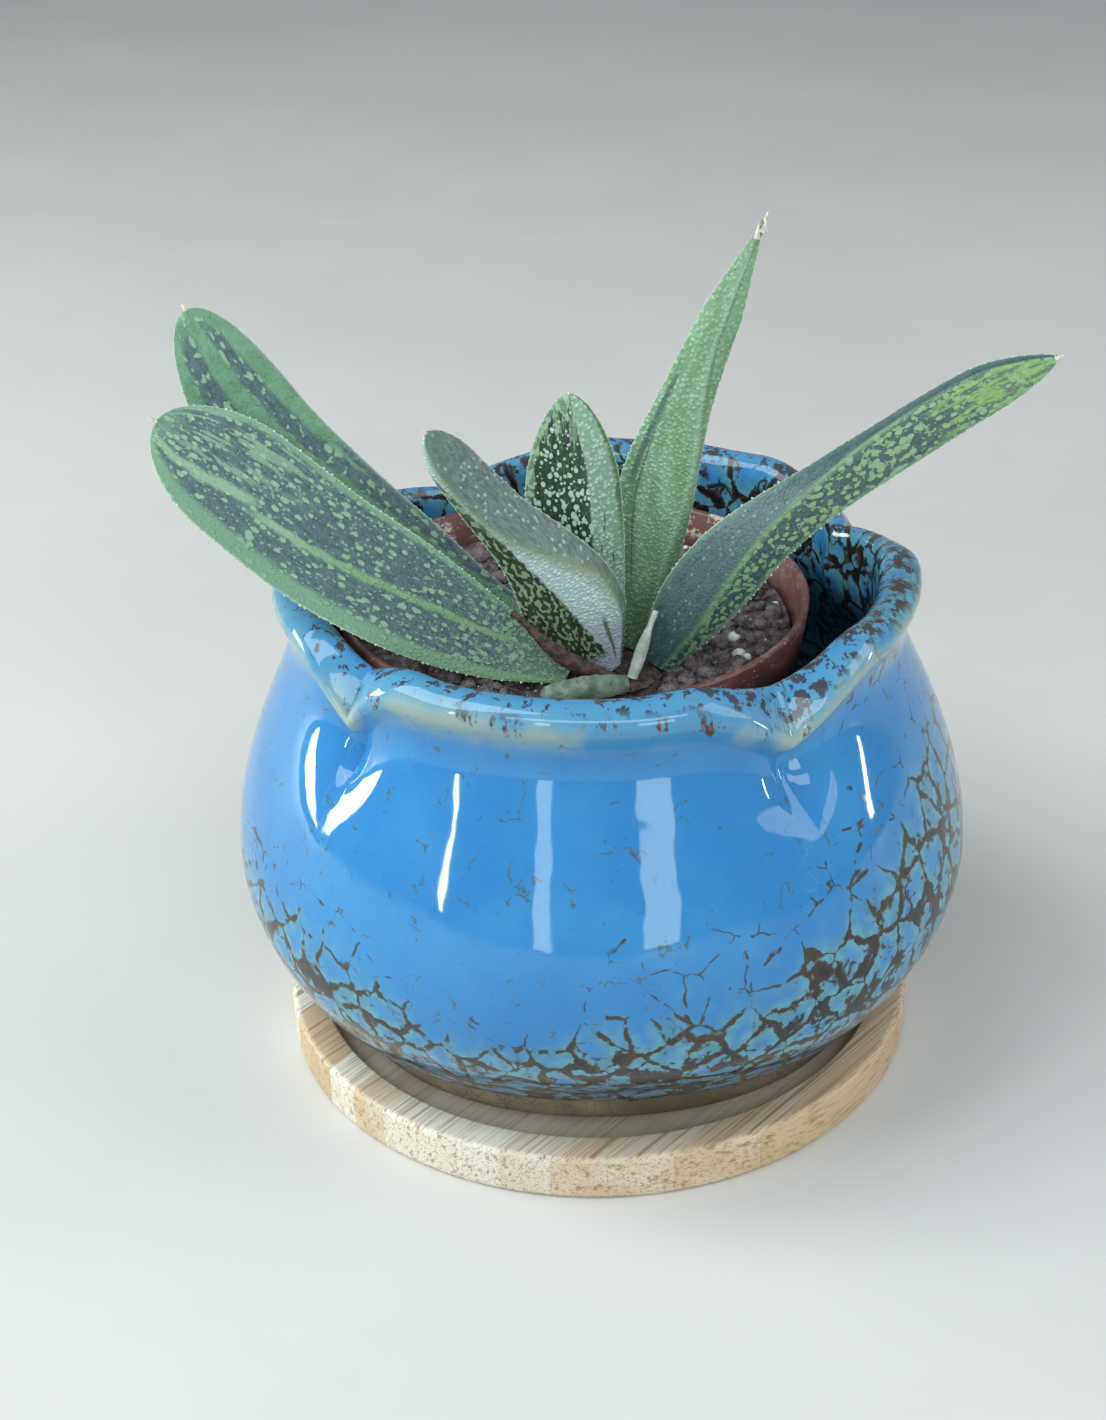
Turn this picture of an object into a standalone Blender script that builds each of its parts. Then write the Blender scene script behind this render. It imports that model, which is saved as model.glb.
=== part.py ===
"""A small gasteria in a thin plastic pot, set in a glazed pot on a bamboo saucer.

The origin is the centre of the saucer's underside, +Z is up and -Y is the front.
Sizes are written in millimetres and scaled to metres when a mesh is made.
"""

import math

import bmesh
import bpy
from mathutils import Matrix, Vector, geometry, noise

MM = 0.001
GAP = 0.3

# Sides of the turned pieces
SAUCER_SIDES = 72
POT_SIDES = 96
LINER_SIDES = 56
SOIL_SIDES = 40
STEM_SIDES = 20

# Bamboo saucer
SAUCER_RADIUS = 48.0
SAUCER_HEIGHT = 7.2
SAUCER_ROUNDING = 0.9
RECESS_RADIUS = 43.0
RECESS_FLOOR = 4.0
RECESS_FILLET = 0.8
RECESS_ROUNDING = 0.5

# Glazed pot: its axis stands a little off the saucer's centre
POT_CENTRE = Vector((0.8, 2.0))
POT_BOTTOM = RECESS_FLOOR + GAP
FOOT_RADIUS = 40.4
FOOT_RING_WIDTH = 4.0
FOOT_HOLLOW = 1.4
FOOT_NARROWING = 2.6
UNDERCUT = 3.5
UNDERCUT_TOP = 25.0
CLAY_BAND = 3.4
BELLY_RADIUS = 54.7
BELLY_HEIGHT = 32.5
NECK_RADIUS = 44.2
NECK_HEIGHT = 67.0
LIP_RADIUS = 46.2
LIP_HEIGHT = 76.2
MOUTH_RADIUS = 40.4
POT_WALL = 4.2
POT_FLOOR = 9.2
DRAIN_RADIUS = 5.0
# Each pleat of the rim: its direction in degrees, and how wide its valley spreads
PLEATS = ((-140.0, 7.0), (-57.0, 10.0), (23.0, 14.0), (122.0, 17.0))
CREASE_SPREAD = 4.5
PLEAT_DROP_OUTER = 8.0
PLEAT_DROP_INNER = 2.6
PLEAT_REACH_DOWN = 15.0
PLEAT_PINCH = 1.6
PLEAT_SHOULDER = 0.9
SHOULDER_PLACE = 1.8
SHOULDER_SPREAD = 7.0
CREASE_DEPTH = 0.7

# Thin plastic pot, standing on the glazed pot's floor
LINER_CENTRE = Vector((-2.6, -1.0))
LINER_BOTTOM = POT_FLOOR + GAP
LINER_TOP = 72.0
LINER_TOP_RADIUS = 33.6
LINER_BASE_RADIUS = 24.0
LINER_WALL = 1.0
LINER_BAND_HEIGHT = 9.0
LINER_BAND_STEP = 0.7
LINER_HOLE_RADIUS = 3.0
LINER_HOLE_RING = 14.0
LINER_HOLES = 5

# Soil and the plant's short stem
SOIL_EDGE_HEIGHT = 67.0
SOIL_RINGS = 7
SOIL_DIP = 2.4
SOIL_ROUGHNESS = 0.7
CROWN = Vector((2.5, -13.5, 66.6))
CROWN_RADIUS = 7.0
STEM_RADIUS = 4.0
STEM_BOTTOM = 52.0

# A leaf 66 mm long has this many stations. Its margins are this thick where it is narrow
# and where it is broad, and the last numbers give the points across its lower face.
LEAF_STATIONS = 24
LEAF_LENGTH = 66.0
TOOTH_SIZE = 0.12
MARGIN_THIN = 0.32
MARGIN_THICK = 0.52
NARROWEST = 0.4
SHALLOWEST = 0.1
SHOULDER = 0.88
LOWER_FACE = (SHOULDER, 0.45, 0.0, -0.45, -SHOULDER)

# Each leaf runs from its base to its tip. spine is the middle of the leaf, and facing the
# way its shown face looks. The other lists are spread evenly along it: half_width to
# either side, ridge for how far the shown face stands out (or is hollowed), ridge_at for
# where across it, from -1 at the left margin to 1 at the right one, and back for the depth
# behind. crisp is 1 for a sharp ridge and 2 for a round one. tip gives the share of the
# length where the margins start to close, and how round they close.
LEAVES = {
    "leaf_left_front": dict(
        spine=((-3.6, -16.9, 67.6), (-14.5, -16.6, 72.6), (-25.0, -16.8, 79.4),
               (-36.1, -16.9, 87.6), (-46.2, -16.7, 97.0), (-56.2, -16.5, 105.6)),
        half_width=(2.0, 5.4, 7.6, 8.3, 8.1, 7.3),
        ridge=(0.0, -0.5, -0.8, -0.6, -0.3, 0.0),
        ridge_at=(0.0, 0.0),
        back=(1.8, 3.4, 3.6, 3.2, 2.4, 1.2),
        facing=((0.1, -0.85, 0.5), (0.15, -0.85, 0.5)),
        crisp=2.0,
        tip=(0.8, 2.0),
    ),
    "leaf_left_back": dict(
        spine=((-3.2, -10.2, 67.9), (-15.0, -8.0, 72.0), (-25.0, -6.4, 79.4),
               (-35.2, -4.7, 88.6), (-45.4, -2.7, 100.0), (-53.6, 0.0, 114.8)),
        half_width=(2.4, 5.0, 6.6, 7.0, 7.0, 6.4),
        ridge=(0.0, -0.4, -0.7, -0.6, -0.3, 0.0),
        ridge_at=(0.0, 0.0),
        back=(1.8, 3.2, 3.4, 3.0, 2.4, 1.2),
        facing=((0.2, -0.8, 0.55), (0.15, -0.85, 0.5)),
        crisp=2.0,
        tip=(0.8, 2.0),
    ),
    "leaf_centre_left": dict(
        spine=((2.3, -16.6, 67.6), (-0.8, -17.6, 73.0), (-3.4, -18.9, 79.8), (-7.1, -20.2, 86.3),
               (-12.1, -21.7, 93.0), (-16.8, -23.3, 99.8), (-20.9, -25.0, 106.4)),
        half_width=(1.8, 5.0, 6.8, 6.6, 5.3, 4.1, 3.6, 3.2, 2.8),
        ridge=(0.3, 1.6, 2.4, 2.6, 2.4, 1.8, 1.0, 0.6, 0.2),
        ridge_at=(0.7, 0.75, 0.75, 0.65, 0.2, -0.4, -0.7, -0.75, -0.75),
        back=(1.2, 2.2, 2.6, 2.6, 2.4, 2.0, 1.6, 1.2, 0.8),
        facing=((0.05, -0.9, 0.35), (0.1, -0.85, 0.5)),
        crisp=1.15,
        tip=(0.86, 2.0),
    ),
    "leaf_centre": dict(
        spine=((0.8, -11.4, 67.2), (-1.6, -11.5, 78.5), (-2.3, -11.7, 88.0),
               (-2.5, -11.8, 97.0), (-2.7, -12.0, 106.0)),
        half_width=(3.0, 5.4, 6.4, 6.6, 6.3, 5.7, 4.9),
        ridge=(0.6, 1.6, 2.0, 2.0, 1.8, 1.4, 0.6),
        ridge_at=(0.3, 0.3, 0.35, 0.3, 0.1),
        back=(1.6, 2.4, 2.8, 2.8, 2.4, 2.0, 1.0),
        facing=((0.0, -1.0, 0.1), (0.0, -1.0, 0.1)),
        crisp=1.1,
        tip=(0.62, 2.0),
    ),
    "leaf_right_tall": dict(
        spine=((5.7, -8.6, 66.6), (7.5, -6.7, 79.0), (9.2, -6.0, 90.0), (12.6, -5.4, 101.0),
               (17.6, -4.7, 113.2), (23.2, -4.0, 126.0)),
        half_width=(1.8, 3.4, 4.8, 5.3, 4.7, 3.7, 3.0, 2.4, 1.6),
        ridge=(0.6, 1.4, 1.8, 1.8, 1.6, 1.4, 1.2, 0.8, 0.3),
        ridge_at=(0.5, 0.55, 0.6, 0.75, 0.82, 0.58, 0.2, 0.12, 0.1),
        back=(1.6, 2.4, 3.0, 3.2, 3.0, 2.4, 2.0, 1.4, 0.6),
        facing=((0.0, -0.95, 0.2), (0.0, -0.95, 0.2)),
        crisp=1.1,
        tip=(0.8, 1.3),
    ),
    "leaf_right_long": dict(
        spine=((8.4, -14.0, 66.9), (14.5, -14.3, 77.0), (21.5, -14.7, 85.3), (30.3, -15.0, 92.4),
               (40.0, -15.3, 99.2), (50.0, -15.7, 105.8), (60.1, -16.0, 110.6)),
        half_width=(2.4, 4.9, 5.3, 4.5, 3.8, 3.6, 3.5, 3.2, 2.6),
        ridge=(0.6, 1.8, 2.4, 2.6, 2.4, 2.0, 1.6, 1.2, 0.4),
        ridge_at=(0.4, 0.4, 0.25, 0.0, -0.3, -0.6, -0.7, -0.7, -0.6),
        back=(1.8, 3.0, 3.4, 3.2, 3.0, 2.6, 2.2, 1.6, 0.8),
        facing=((0.0, -0.9, 0.4), (0.1, -0.85, 0.5)),
        crisp=1.1,
        tip=(0.84, 1.7),
    ),
    "leaf_stub_front": dict(
        spine=((4.2, -20.6, 67.3), (-1.0, -23.2, 68.2), (-4.9, -23.9, 67.8), (-7.6, -24.0, 67.3)),
        half_width=(1.2, 1.6, 1.7, 1.6, 1.3),
        ridge=(0.3, 0.5, 0.6, 0.5, 0.3),
        ridge_at=(0.1, 0.1),
        back=(0.6, 0.9, 1.0, 0.9, 0.6),
        facing=((0.0, -0.85, 0.5), (0.0, -0.85, 0.5)),
        crisp=2.0,
        tip=(0.8, 2.6),
    ),
    "sheath_dry": dict(
        spine=((2.8, -19.0, 67.1), (-0.9, -20.9, 69.8), (-5.2, -21.8, 73.0), (-11.0, -21.6, 79.2)),
        half_width=(0.7, 1.0, 1.1, 0.9),
        ridge=(0.3, 0.3),
        ridge_at=(0.0, 0.0),
        back=(0.1, 0.1),
        facing=((0.1, -0.85, 0.5), (0.1, -0.85, 0.5)),
        crisp=2.0,
        tip=(0.6, 1.3),
    ),
    "sheath_white": dict(
        spine=((5.0, -18.2, 66.9), (6.0, -17.6, 69.6), (7.0, -17.0, 72.6), (8.4, -16.2, 76.0)),
        half_width=(0.8, 1.3, 1.3, 0.9),
        ridge=(0.3, 0.3),
        ridge_at=(0.0, 0.0),
        back=(0.1, 0.1),
        facing=((0.2, -0.9, 0.3), (0.2, -0.9, 0.3)),
        crisp=2.0,
        tip=(0.5, 1.3),
    ),
}

COLOURS = {
    "bamboo": ((0.70, 0.52, 0.31), 0.55),
    "blue_glaze": ((0.07, 0.33, 0.78), 0.10),
    "brown_plastic": ((0.26, 0.08, 0.05), 0.40),
    "potting_soil": ((0.045, 0.032, 0.028), 0.95),
    "leaf_green": ((0.10, 0.24, 0.12), 0.45),
    "pale_leaf": ((0.42, 0.55, 0.42), 0.50),
    "dry_leaf": ((0.16, 0.09, 0.06), 0.85),
    "stem_brown": ((0.20, 0.14, 0.10), 0.80),
}


def clear_scene():
    """Remove the objects that the scene starts with."""
    for existing in list(bpy.data.objects):
        bpy.data.objects.remove(existing, do_unlink=True)


def new_collection(name):
    collection = bpy.data.collections.new(name)
    bpy.context.scene.collection.children.link(collection)
    return collection


def principled(name):
    """Make the plain material of one of the named finishes."""
    colour, roughness = COLOURS[name]
    material = bpy.data.materials.new(name)
    material.use_nodes = True
    shader = material.node_tree.nodes["Principled BSDF"]
    shader.inputs["Base Color"].default_value = (*colour, 1.0)
    shader.inputs["Roughness"].default_value = roughness
    shader.inputs["Metallic"].default_value = 0.0
    return material


def add_object(name, mesh, material, collection):
    mesh.materials.clear()
    mesh.materials.append(material)
    obj = bpy.data.objects.new(name, mesh)
    collection.objects.link(obj)
    return obj


def arc(centre, radius, start, end, steps):
    """Points of an arc in the profile plane, from one angle to another in degrees."""
    points = []
    for step in range(steps + 1):
        angle = math.radians(start + (end - start) * step / steps)
        points.append((centre[0] + radius * math.cos(angle), centre[1] + radius * math.sin(angle)))
    return points


def bezier(start, handle_out, handle_in, end, steps):
    """Points of a Bezier curve in the profile plane, without its first point."""
    corners = [Vector((*point, 0.0)) for point in (start, handle_out, handle_in, end)]
    curve = geometry.interpolate_bezier(*corners, steps + 1)
    return [(point.x, point.y) for point in curve[1:]]


def turned_mesh(name, profile, segments, centre):
    """Turn a profile of (radius, height) points about the vertical through centre."""
    on_axis = profile[0][0] == 0.0
    shape = bmesh.new()
    corners = [shape.verts.new((radius * MM, 0.0, height * MM)) for radius, height in profile]
    for first, second in zip(corners, corners[1:]):
        shape.edges.new((first, second))
    if not on_axis:
        shape.edges.new((corners[-1], corners[0]))
    mesh = bpy.data.meshes.new(name + "_profile")
    shape.to_mesh(mesh)
    shape.free()

    source = bpy.data.objects.new(name + "_profile", mesh)
    bpy.context.scene.collection.objects.link(source)
    screw = source.modifiers.new("Turn", "SCREW")
    screw.axis = "Z"
    screw.steps = segments
    screw.render_steps = segments
    screw.use_merge_vertices = True
    screw.merge_threshold = 0.00001
    graph = bpy.context.evaluated_depsgraph_get()
    turned = bpy.data.meshes.new_from_object(source.evaluated_get(graph))
    bpy.data.objects.remove(source, do_unlink=True)
    turned.name = name
    turned.transform(Matrix.Translation((centre.x * MM, centre.y * MM, 0.0)))
    return turned


def smooth_round(mesh, sharp_angle=35.0):
    mesh.shade_smooth()
    mesh.set_sharp_from_angle(angle=math.radians(sharp_angle))


def fade(value, low, high):
    """Rise smoothly from 0 at low to 1 at high."""
    share = min(max((value - low) / (high - low), 0.0), 1.0)
    return share * share * (3.0 - 2.0 * share)


def angle_between(first, second):
    """The unsigned difference of two directions in degrees."""
    return abs((first - second + 180.0) % 360.0 - 180.0)


def make_saucer(material, collection):
    """A flat bamboo disc with rounded edges and a shallow round recess."""
    fillet_centre = (RECESS_RADIUS - RECESS_FILLET, RECESS_FLOOR + RECESS_FILLET)
    mouth_centre = (RECESS_RADIUS + RECESS_ROUNDING, SAUCER_HEIGHT - RECESS_ROUNDING)
    rim_radius = SAUCER_RADIUS - SAUCER_ROUNDING
    profile = [(0.0, RECESS_FLOOR), (RECESS_RADIUS / 2.0, RECESS_FLOOR)]
    profile += arc(fillet_centre, RECESS_FILLET, -90.0, 0.0, 2)
    profile += arc(mouth_centre, RECESS_ROUNDING, 180.0, 90.0, 2)
    profile += arc((rim_radius, SAUCER_HEIGHT - SAUCER_ROUNDING), SAUCER_ROUNDING, 90.0, 0.0, 3)
    profile += arc((rim_radius, SAUCER_ROUNDING), SAUCER_ROUNDING, 0.0, -90.0, 3)
    profile.append((0.0, 0.0))
    mesh = turned_mesh("saucer", profile, SAUCER_SIDES, Vector((0.0, 0.0)))
    smooth_round(mesh)
    return add_object("saucer", mesh, material, collection)


def pot_profile():
    """The glazed pot's wall: down the outside, under the foot, through the drain, up inside."""
    foot_inner = FOOT_RADIUS - FOOT_RING_WIDTH
    hollow = POT_BOTTOM + FOOT_HOLLOW
    clay_top = (FOOT_RADIUS + 0.8, POT_BOTTOM + CLAY_BAND)
    belly = (BELLY_RADIUS, BELLY_HEIGHT)
    neck = (NECK_RADIUS, NECK_HEIGHT)
    lip = (LIP_RADIUS, LIP_HEIGHT - 2.4)
    profile = [lip]
    under_lip = (LIP_RADIUS - 0.1, LIP_HEIGHT - 4.4)
    above_neck = (NECK_RADIUS, NECK_HEIGHT + 3.5)
    below_neck = (NECK_RADIUS, NECK_HEIGHT - 5.5)
    above_belly = (BELLY_RADIUS, BELLY_HEIGHT + 15.0)
    below_belly = (BELLY_RADIUS, BELLY_HEIGHT - 9.0)
    above_foot = (FOOT_RADIUS + 7.4, POT_BOTTOM + 7.5)
    profile += bezier(lip, under_lip, above_neck, neck, 4)
    profile += bezier(neck, below_neck, above_belly, belly, 5)
    profile += bezier(belly, below_belly, above_foot, clay_top, 5)
    profile.append((FOOT_RADIUS, POT_BOTTOM + 0.4))
    profile.append((FOOT_RADIUS - 0.5, POT_BOTTOM))
    profile += [(foot_inner, POT_BOTTOM), (foot_inner - 0.8, hollow), (DRAIN_RADIUS, hollow)]
    profile += [(DRAIN_RADIUS, POT_FLOOR), (BELLY_RADIUS * 0.62, POT_FLOOR)]
    inner_belly = (BELLY_RADIUS - POT_WALL, BELLY_HEIGHT)
    inner_neck = (NECK_RADIUS - POT_WALL, NECK_HEIGHT)
    floor_edge = (BELLY_RADIUS * 0.85, POT_FLOOR)
    low_inside = (inner_belly[0], BELLY_HEIGHT - 12.5)
    high_inside = (inner_belly[0], BELLY_HEIGHT + 15.5)
    neck_inside = (inner_neck[0], NECK_HEIGHT - 9.0)
    profile += bezier(profile[-1], floor_edge, low_inside, inner_belly, 3)
    profile += bezier(inner_belly, high_inside, neck_inside, inner_neck, 3)
    profile += [(MOUTH_RADIUS - 0.3, LIP_HEIGHT - 3.6), (MOUTH_RADIUS + 0.2, LIP_HEIGHT - 1.5)]
    profile += [(MOUTH_RADIUS + 1.4, LIP_HEIGHT - 0.3), (LIP_RADIUS - 2.9, LIP_HEIGHT)]
    profile += [(LIP_RADIUS - 1.2, LIP_HEIGHT - 0.5), (LIP_RADIUS - 0.3, LIP_HEIGHT - 1.4)]
    return profile


def pleat_valley(angle):
    """How deep a direction lies in the nearest pleat's valley, from 0 to 1."""
    return max(math.exp(-((angle_between(angle, pleat) / spread) ** 1.2)) for pleat, spread in PLEATS)


def pleat_crease(angle):
    """How close a direction is to a pleat's sharp crease, from 0 to 1."""
    nearest = min(angle_between(angle, pleat) for pleat, spread in PLEATS)
    return math.exp(-((nearest / CREASE_SPREAD) ** 1.2))


def pleat_shoulder(angle):
    """The raised corners of the lobes on either side of a pleat, from 0 to 1."""
    strength = 0.0
    for pleat, spread in PLEATS:
        from_corner = angle_between(angle, pleat) - SHOULDER_PLACE * spread
        strength = max(strength, math.exp(-((from_corner / SHOULDER_SPREAD) ** 2)))
    return strength


def undercut(radius, height, angle):
    """How far the lower wall stands in at the front and back, where the foot is narrower."""
    low = FOOT_NARROWING + (UNDERCUT - FOOT_NARROWING) * fade(height, POT_BOTTOM, POT_FLOOR)
    low *= 1.0 - fade(height, UNDERCUT_TOP / 2.0, UNDERCUT_TOP)
    outer = fade(radius, FOOT_RADIUS * 0.4, FOOT_RADIUS * 0.85)
    return low * outer * math.sin(math.radians(angle)) ** 4


def pleated(point):
    """Move a point of the round pot to its place on the lobed and pleated one."""
    offset = point.xy - POT_CENTRE
    radius = offset.length
    angle = math.degrees(math.atan2(offset.y, offset.x))
    height = point.z
    valley = pleat_valley(angle)
    crease = pleat_crease(angle)
    lip = fade(height, NECK_HEIGHT - PLEAT_REACH_DOWN, LIP_HEIGHT - 1.5)
    overhang = fade(radius, MOUTH_RADIUS, LIP_RADIUS)
    drop = PLEAT_DROP_INNER + (PLEAT_DROP_OUTER - PLEAT_DROP_INNER) * overhang
    rise = PLEAT_SHOULDER * pleat_shoulder(angle)
    pinch = PLEAT_PINCH * crease * fade(height, BELLY_HEIGHT + 18.0, NECK_HEIGHT)
    pinch *= 1.0 - 0.7 * fade(height, NECK_HEIGHT, LIP_HEIGHT)
    fold = CREASE_DEPTH * crease * fade(height, BELLY_HEIGHT, NECK_HEIGHT - 8.0)
    new_radius = radius - pinch - fold - undercut(radius, height, angle)
    new_height = height + lip * (rise - drop * valley)
    direction = offset.normalized() if radius > 0.0 else offset
    flat = POT_CENTRE + direction * new_radius
    return Vector((flat.x, flat.y, new_height))


def make_glazed_pot(material, collection):
    """The round-bellied pot with a drain hole, its flared lip folded in pleats."""
    mesh = turned_mesh("glazed_pot", pot_profile(), POT_SIDES, POT_CENTRE)
    for vertex in mesh.vertices:
        vertex.co = pleated(vertex.co / MM) * MM
    smooth_round(mesh, 50.0)
    return add_object("glazed_pot", mesh, material, collection)


def liner_radius(height):
    """The outer radius of the thin pot's plain wall at a height."""
    share = (height - LINER_BOTTOM) / (LINER_TOP - LINER_BOTTOM)
    return LINER_BASE_RADIUS + (LINER_TOP_RADIUS - LINER_BAND_STEP - LINER_BASE_RADIUS) * share


def make_liner_pot(material, collection, cutters):
    """The thin tapered plastic pot with a rim band and drain holes in its floor."""
    band_foot = LINER_TOP - LINER_BAND_HEIGHT
    floor = LINER_BOTTOM + LINER_WALL
    profile = [
        (LINER_TOP_RADIUS - 0.3, LINER_TOP),
        (LINER_TOP_RADIUS, LINER_TOP - 0.4),
        (liner_radius(band_foot) + LINER_BAND_STEP, band_foot),
        (liner_radius(band_foot), band_foot - 0.6),
        (LINER_BASE_RADIUS, LINER_BOTTOM + 0.6),
        (LINER_BASE_RADIUS - 0.6, LINER_BOTTOM),
        (0.0, LINER_BOTTOM),
    ]
    inside = [
        (0.0, floor),
        (LINER_BASE_RADIUS - LINER_WALL - 0.4, floor),
        (LINER_BASE_RADIUS - LINER_WALL, floor + 0.5),
        (liner_radius(band_foot) - LINER_WALL, band_foot - 0.6),
        (LINER_TOP_RADIUS - LINER_WALL - 0.1, LINER_TOP - 0.4),
        (LINER_TOP_RADIUS - LINER_WALL + 0.2, LINER_TOP),
    ]
    outline = inside + profile
    mesh = turned_mesh("plastic_pot", outline, LINER_SIDES, LINER_CENTRE)
    smooth_round(mesh)
    pot = add_object("plastic_pot", mesh, material, collection)
    for number in range(LINER_HOLES):
        angle = 2.0 * math.pi * number / LINER_HOLES
        place = LINER_CENTRE + Vector((math.cos(angle), math.sin(angle))) * LINER_HOLE_RING
        cut_round_hole(pot, cutters, place, LINER_HOLE_RADIUS, LINER_BOTTOM - 2.0, floor + 2.0, 12)
    return pot


def cut_round_hole(target, cutters, place, radius, low, high, sides):
    """Cut an upright round hole through an object with a cylinder and a Boolean."""
    shape = bmesh.new()
    bmesh.ops.create_cone(
        shape, cap_ends=True, cap_tris=False, segments=sides,
        radius1=radius * MM, radius2=radius * MM, depth=(high - low) * MM,
    )
    name = "{}_hole_{}".format(target.name, len(target.modifiers) + 1)
    mesh = bpy.data.meshes.new(name)
    shape.to_mesh(mesh)
    shape.free()
    cutter = bpy.data.objects.new(name, mesh)
    cutter.location = (place.x * MM, place.y * MM, (low + high) / 2.0 * MM)
    cutter.hide_render = True
    cutter.display_type = "WIRE"
    cutters.objects.link(cutter)
    boolean = target.modifiers.new("Hole {}".format(len(target.modifiers) + 1), "BOOLEAN")
    boolean.operation = "DIFFERENCE"
    boolean.object = cutter


def soil_height(x, y):
    """The soil's surface: high along the pot's wall, lower and rough round the plant."""
    from_crown = (Vector((x, y)) - CROWN.xy).length
    dip = SOIL_DIP * (1.0 - fade(from_crown, 7.0, 22.0))
    rough = SOIL_ROUGHNESS * noise.noise(Vector((x, y, 3.0)) * 0.28)
    return SOIL_EDGE_HEIGHT - dip + rough


def make_soil(material, collection, cutters):
    """The potting soil that fills the thin pot, with a plain round hole for the stem."""
    floor = LINER_BOTTOM + LINER_WALL + GAP
    inner = LINER_WALL + GAP + 0.1
    edge_radius = liner_radius(SOIL_EDGE_HEIGHT) - inner
    profile = [(edge_radius * ring / SOIL_RINGS, SOIL_EDGE_HEIGHT) for ring in range(SOIL_RINGS + 1)]
    band_foot = LINER_TOP - LINER_BAND_HEIGHT
    profile.append((liner_radius(band_foot) - inner, band_foot - 0.6))
    profile.append((LINER_BASE_RADIUS - inner, floor + 0.6))
    profile.append((LINER_BASE_RADIUS - inner - 0.6, floor))
    profile.append((0.0, floor))
    mesh = turned_mesh("soil", profile, SOIL_SIDES, LINER_CENTRE)
    for vertex in mesh.vertices:
        x, y, z = vertex.co / MM
        if z > SOIL_EDGE_HEIGHT - 0.5:
            vertex.co.z = soil_height(x, y) * MM
    smooth_round(mesh, 60.0)
    soil = add_object("soil", mesh, material, collection)
    cut_round_hole(soil, cutters, CROWN.xy, STEM_RADIUS + GAP, STEM_BOTTOM - GAP, CROWN.z + 8.0, 20)
    return soil


def make_stem(material, collection):
    """The short stem that stands in the soil and carries the leaves."""
    profile = [
        (0.0, CROWN.z),
        (CROWN_RADIUS * 0.5, CROWN.z - 0.1),
        (CROWN_RADIUS * 0.88, CROWN.z - 0.4),
        (CROWN_RADIUS, CROWN.z - 0.9),
        (CROWN_RADIUS * 0.9, CROWN.z - 1.2),
        (STEM_RADIUS, CROWN.z - 1.3),
        (STEM_RADIUS, CROWN.z - 6.0),
        (STEM_RADIUS * 0.9, STEM_BOTTOM + 1.5),
        (STEM_RADIUS * 0.5, STEM_BOTTOM),
        (0.0, STEM_BOTTOM),
    ]
    mesh = turned_mesh("stem", profile, STEM_SIDES, CROWN.xy)
    smooth_round(mesh, 60.0)
    return add_object("stem", mesh, material, collection)


def along(values, share):
    """A smooth value at a share of the way along a list of numbers or vectors."""
    last = len(values) - 1
    place = min(max(share, 0.0), 1.0) * last
    index = min(int(place), last - 1)
    t = place - index
    here = values[index]
    there = values[index + 1]
    before = values[index - 1] if index > 0 else here * 2.0 - there
    after = values[index + 2] if index + 2 <= last else there * 2.0 - here
    bend = before * -1.0 + here * 3.0 - there * 3.0 + after
    slope = before * 2.0 - here * 5.0 + there * 4.0 - after
    return (here * 2.0 + (there - before) * t + slope * (t * t) + bend * (t * t * t)) * 0.5


def leaf_section(half_width, ridge, ridge_at, back, crisp, edge):
    """Points (across, out) round a leaf: over its shown face, then back behind it."""
    left_middle = (ridge_at - SHOULDER) / 2.0
    right_middle = (ridge_at + SHOULDER) / 2.0
    points = []
    for across in (-1.0, -SHOULDER, left_middle, ridge_at, right_middle, SHOULDER, 1.0):
        side = 1.0 - ridge_at if across > ridge_at else 1.0 + ridge_at
        away = abs(across - ridge_at) / side
        round_edge = edge * math.sqrt(1.0 - across * across)
        points.append((across * half_width, round_edge + ridge * (1.0 - away ** crisp)))
    for across in LOWER_FACE:
        round_edge = edge * math.sqrt(1.0 - across * across)
        points.append((across * half_width, -round_edge - back * (1.0 - abs(across) ** 1.6)))
    return points


def tip_closing(share, start, roundness):
    """How wide the leaf still is past the share of its length where its margins close."""
    if share <= start:
        return 1.0
    past = (share - start) / (1.0 - start)
    return (1.0 - past ** roundness) ** (1.0 / roundness)


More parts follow.
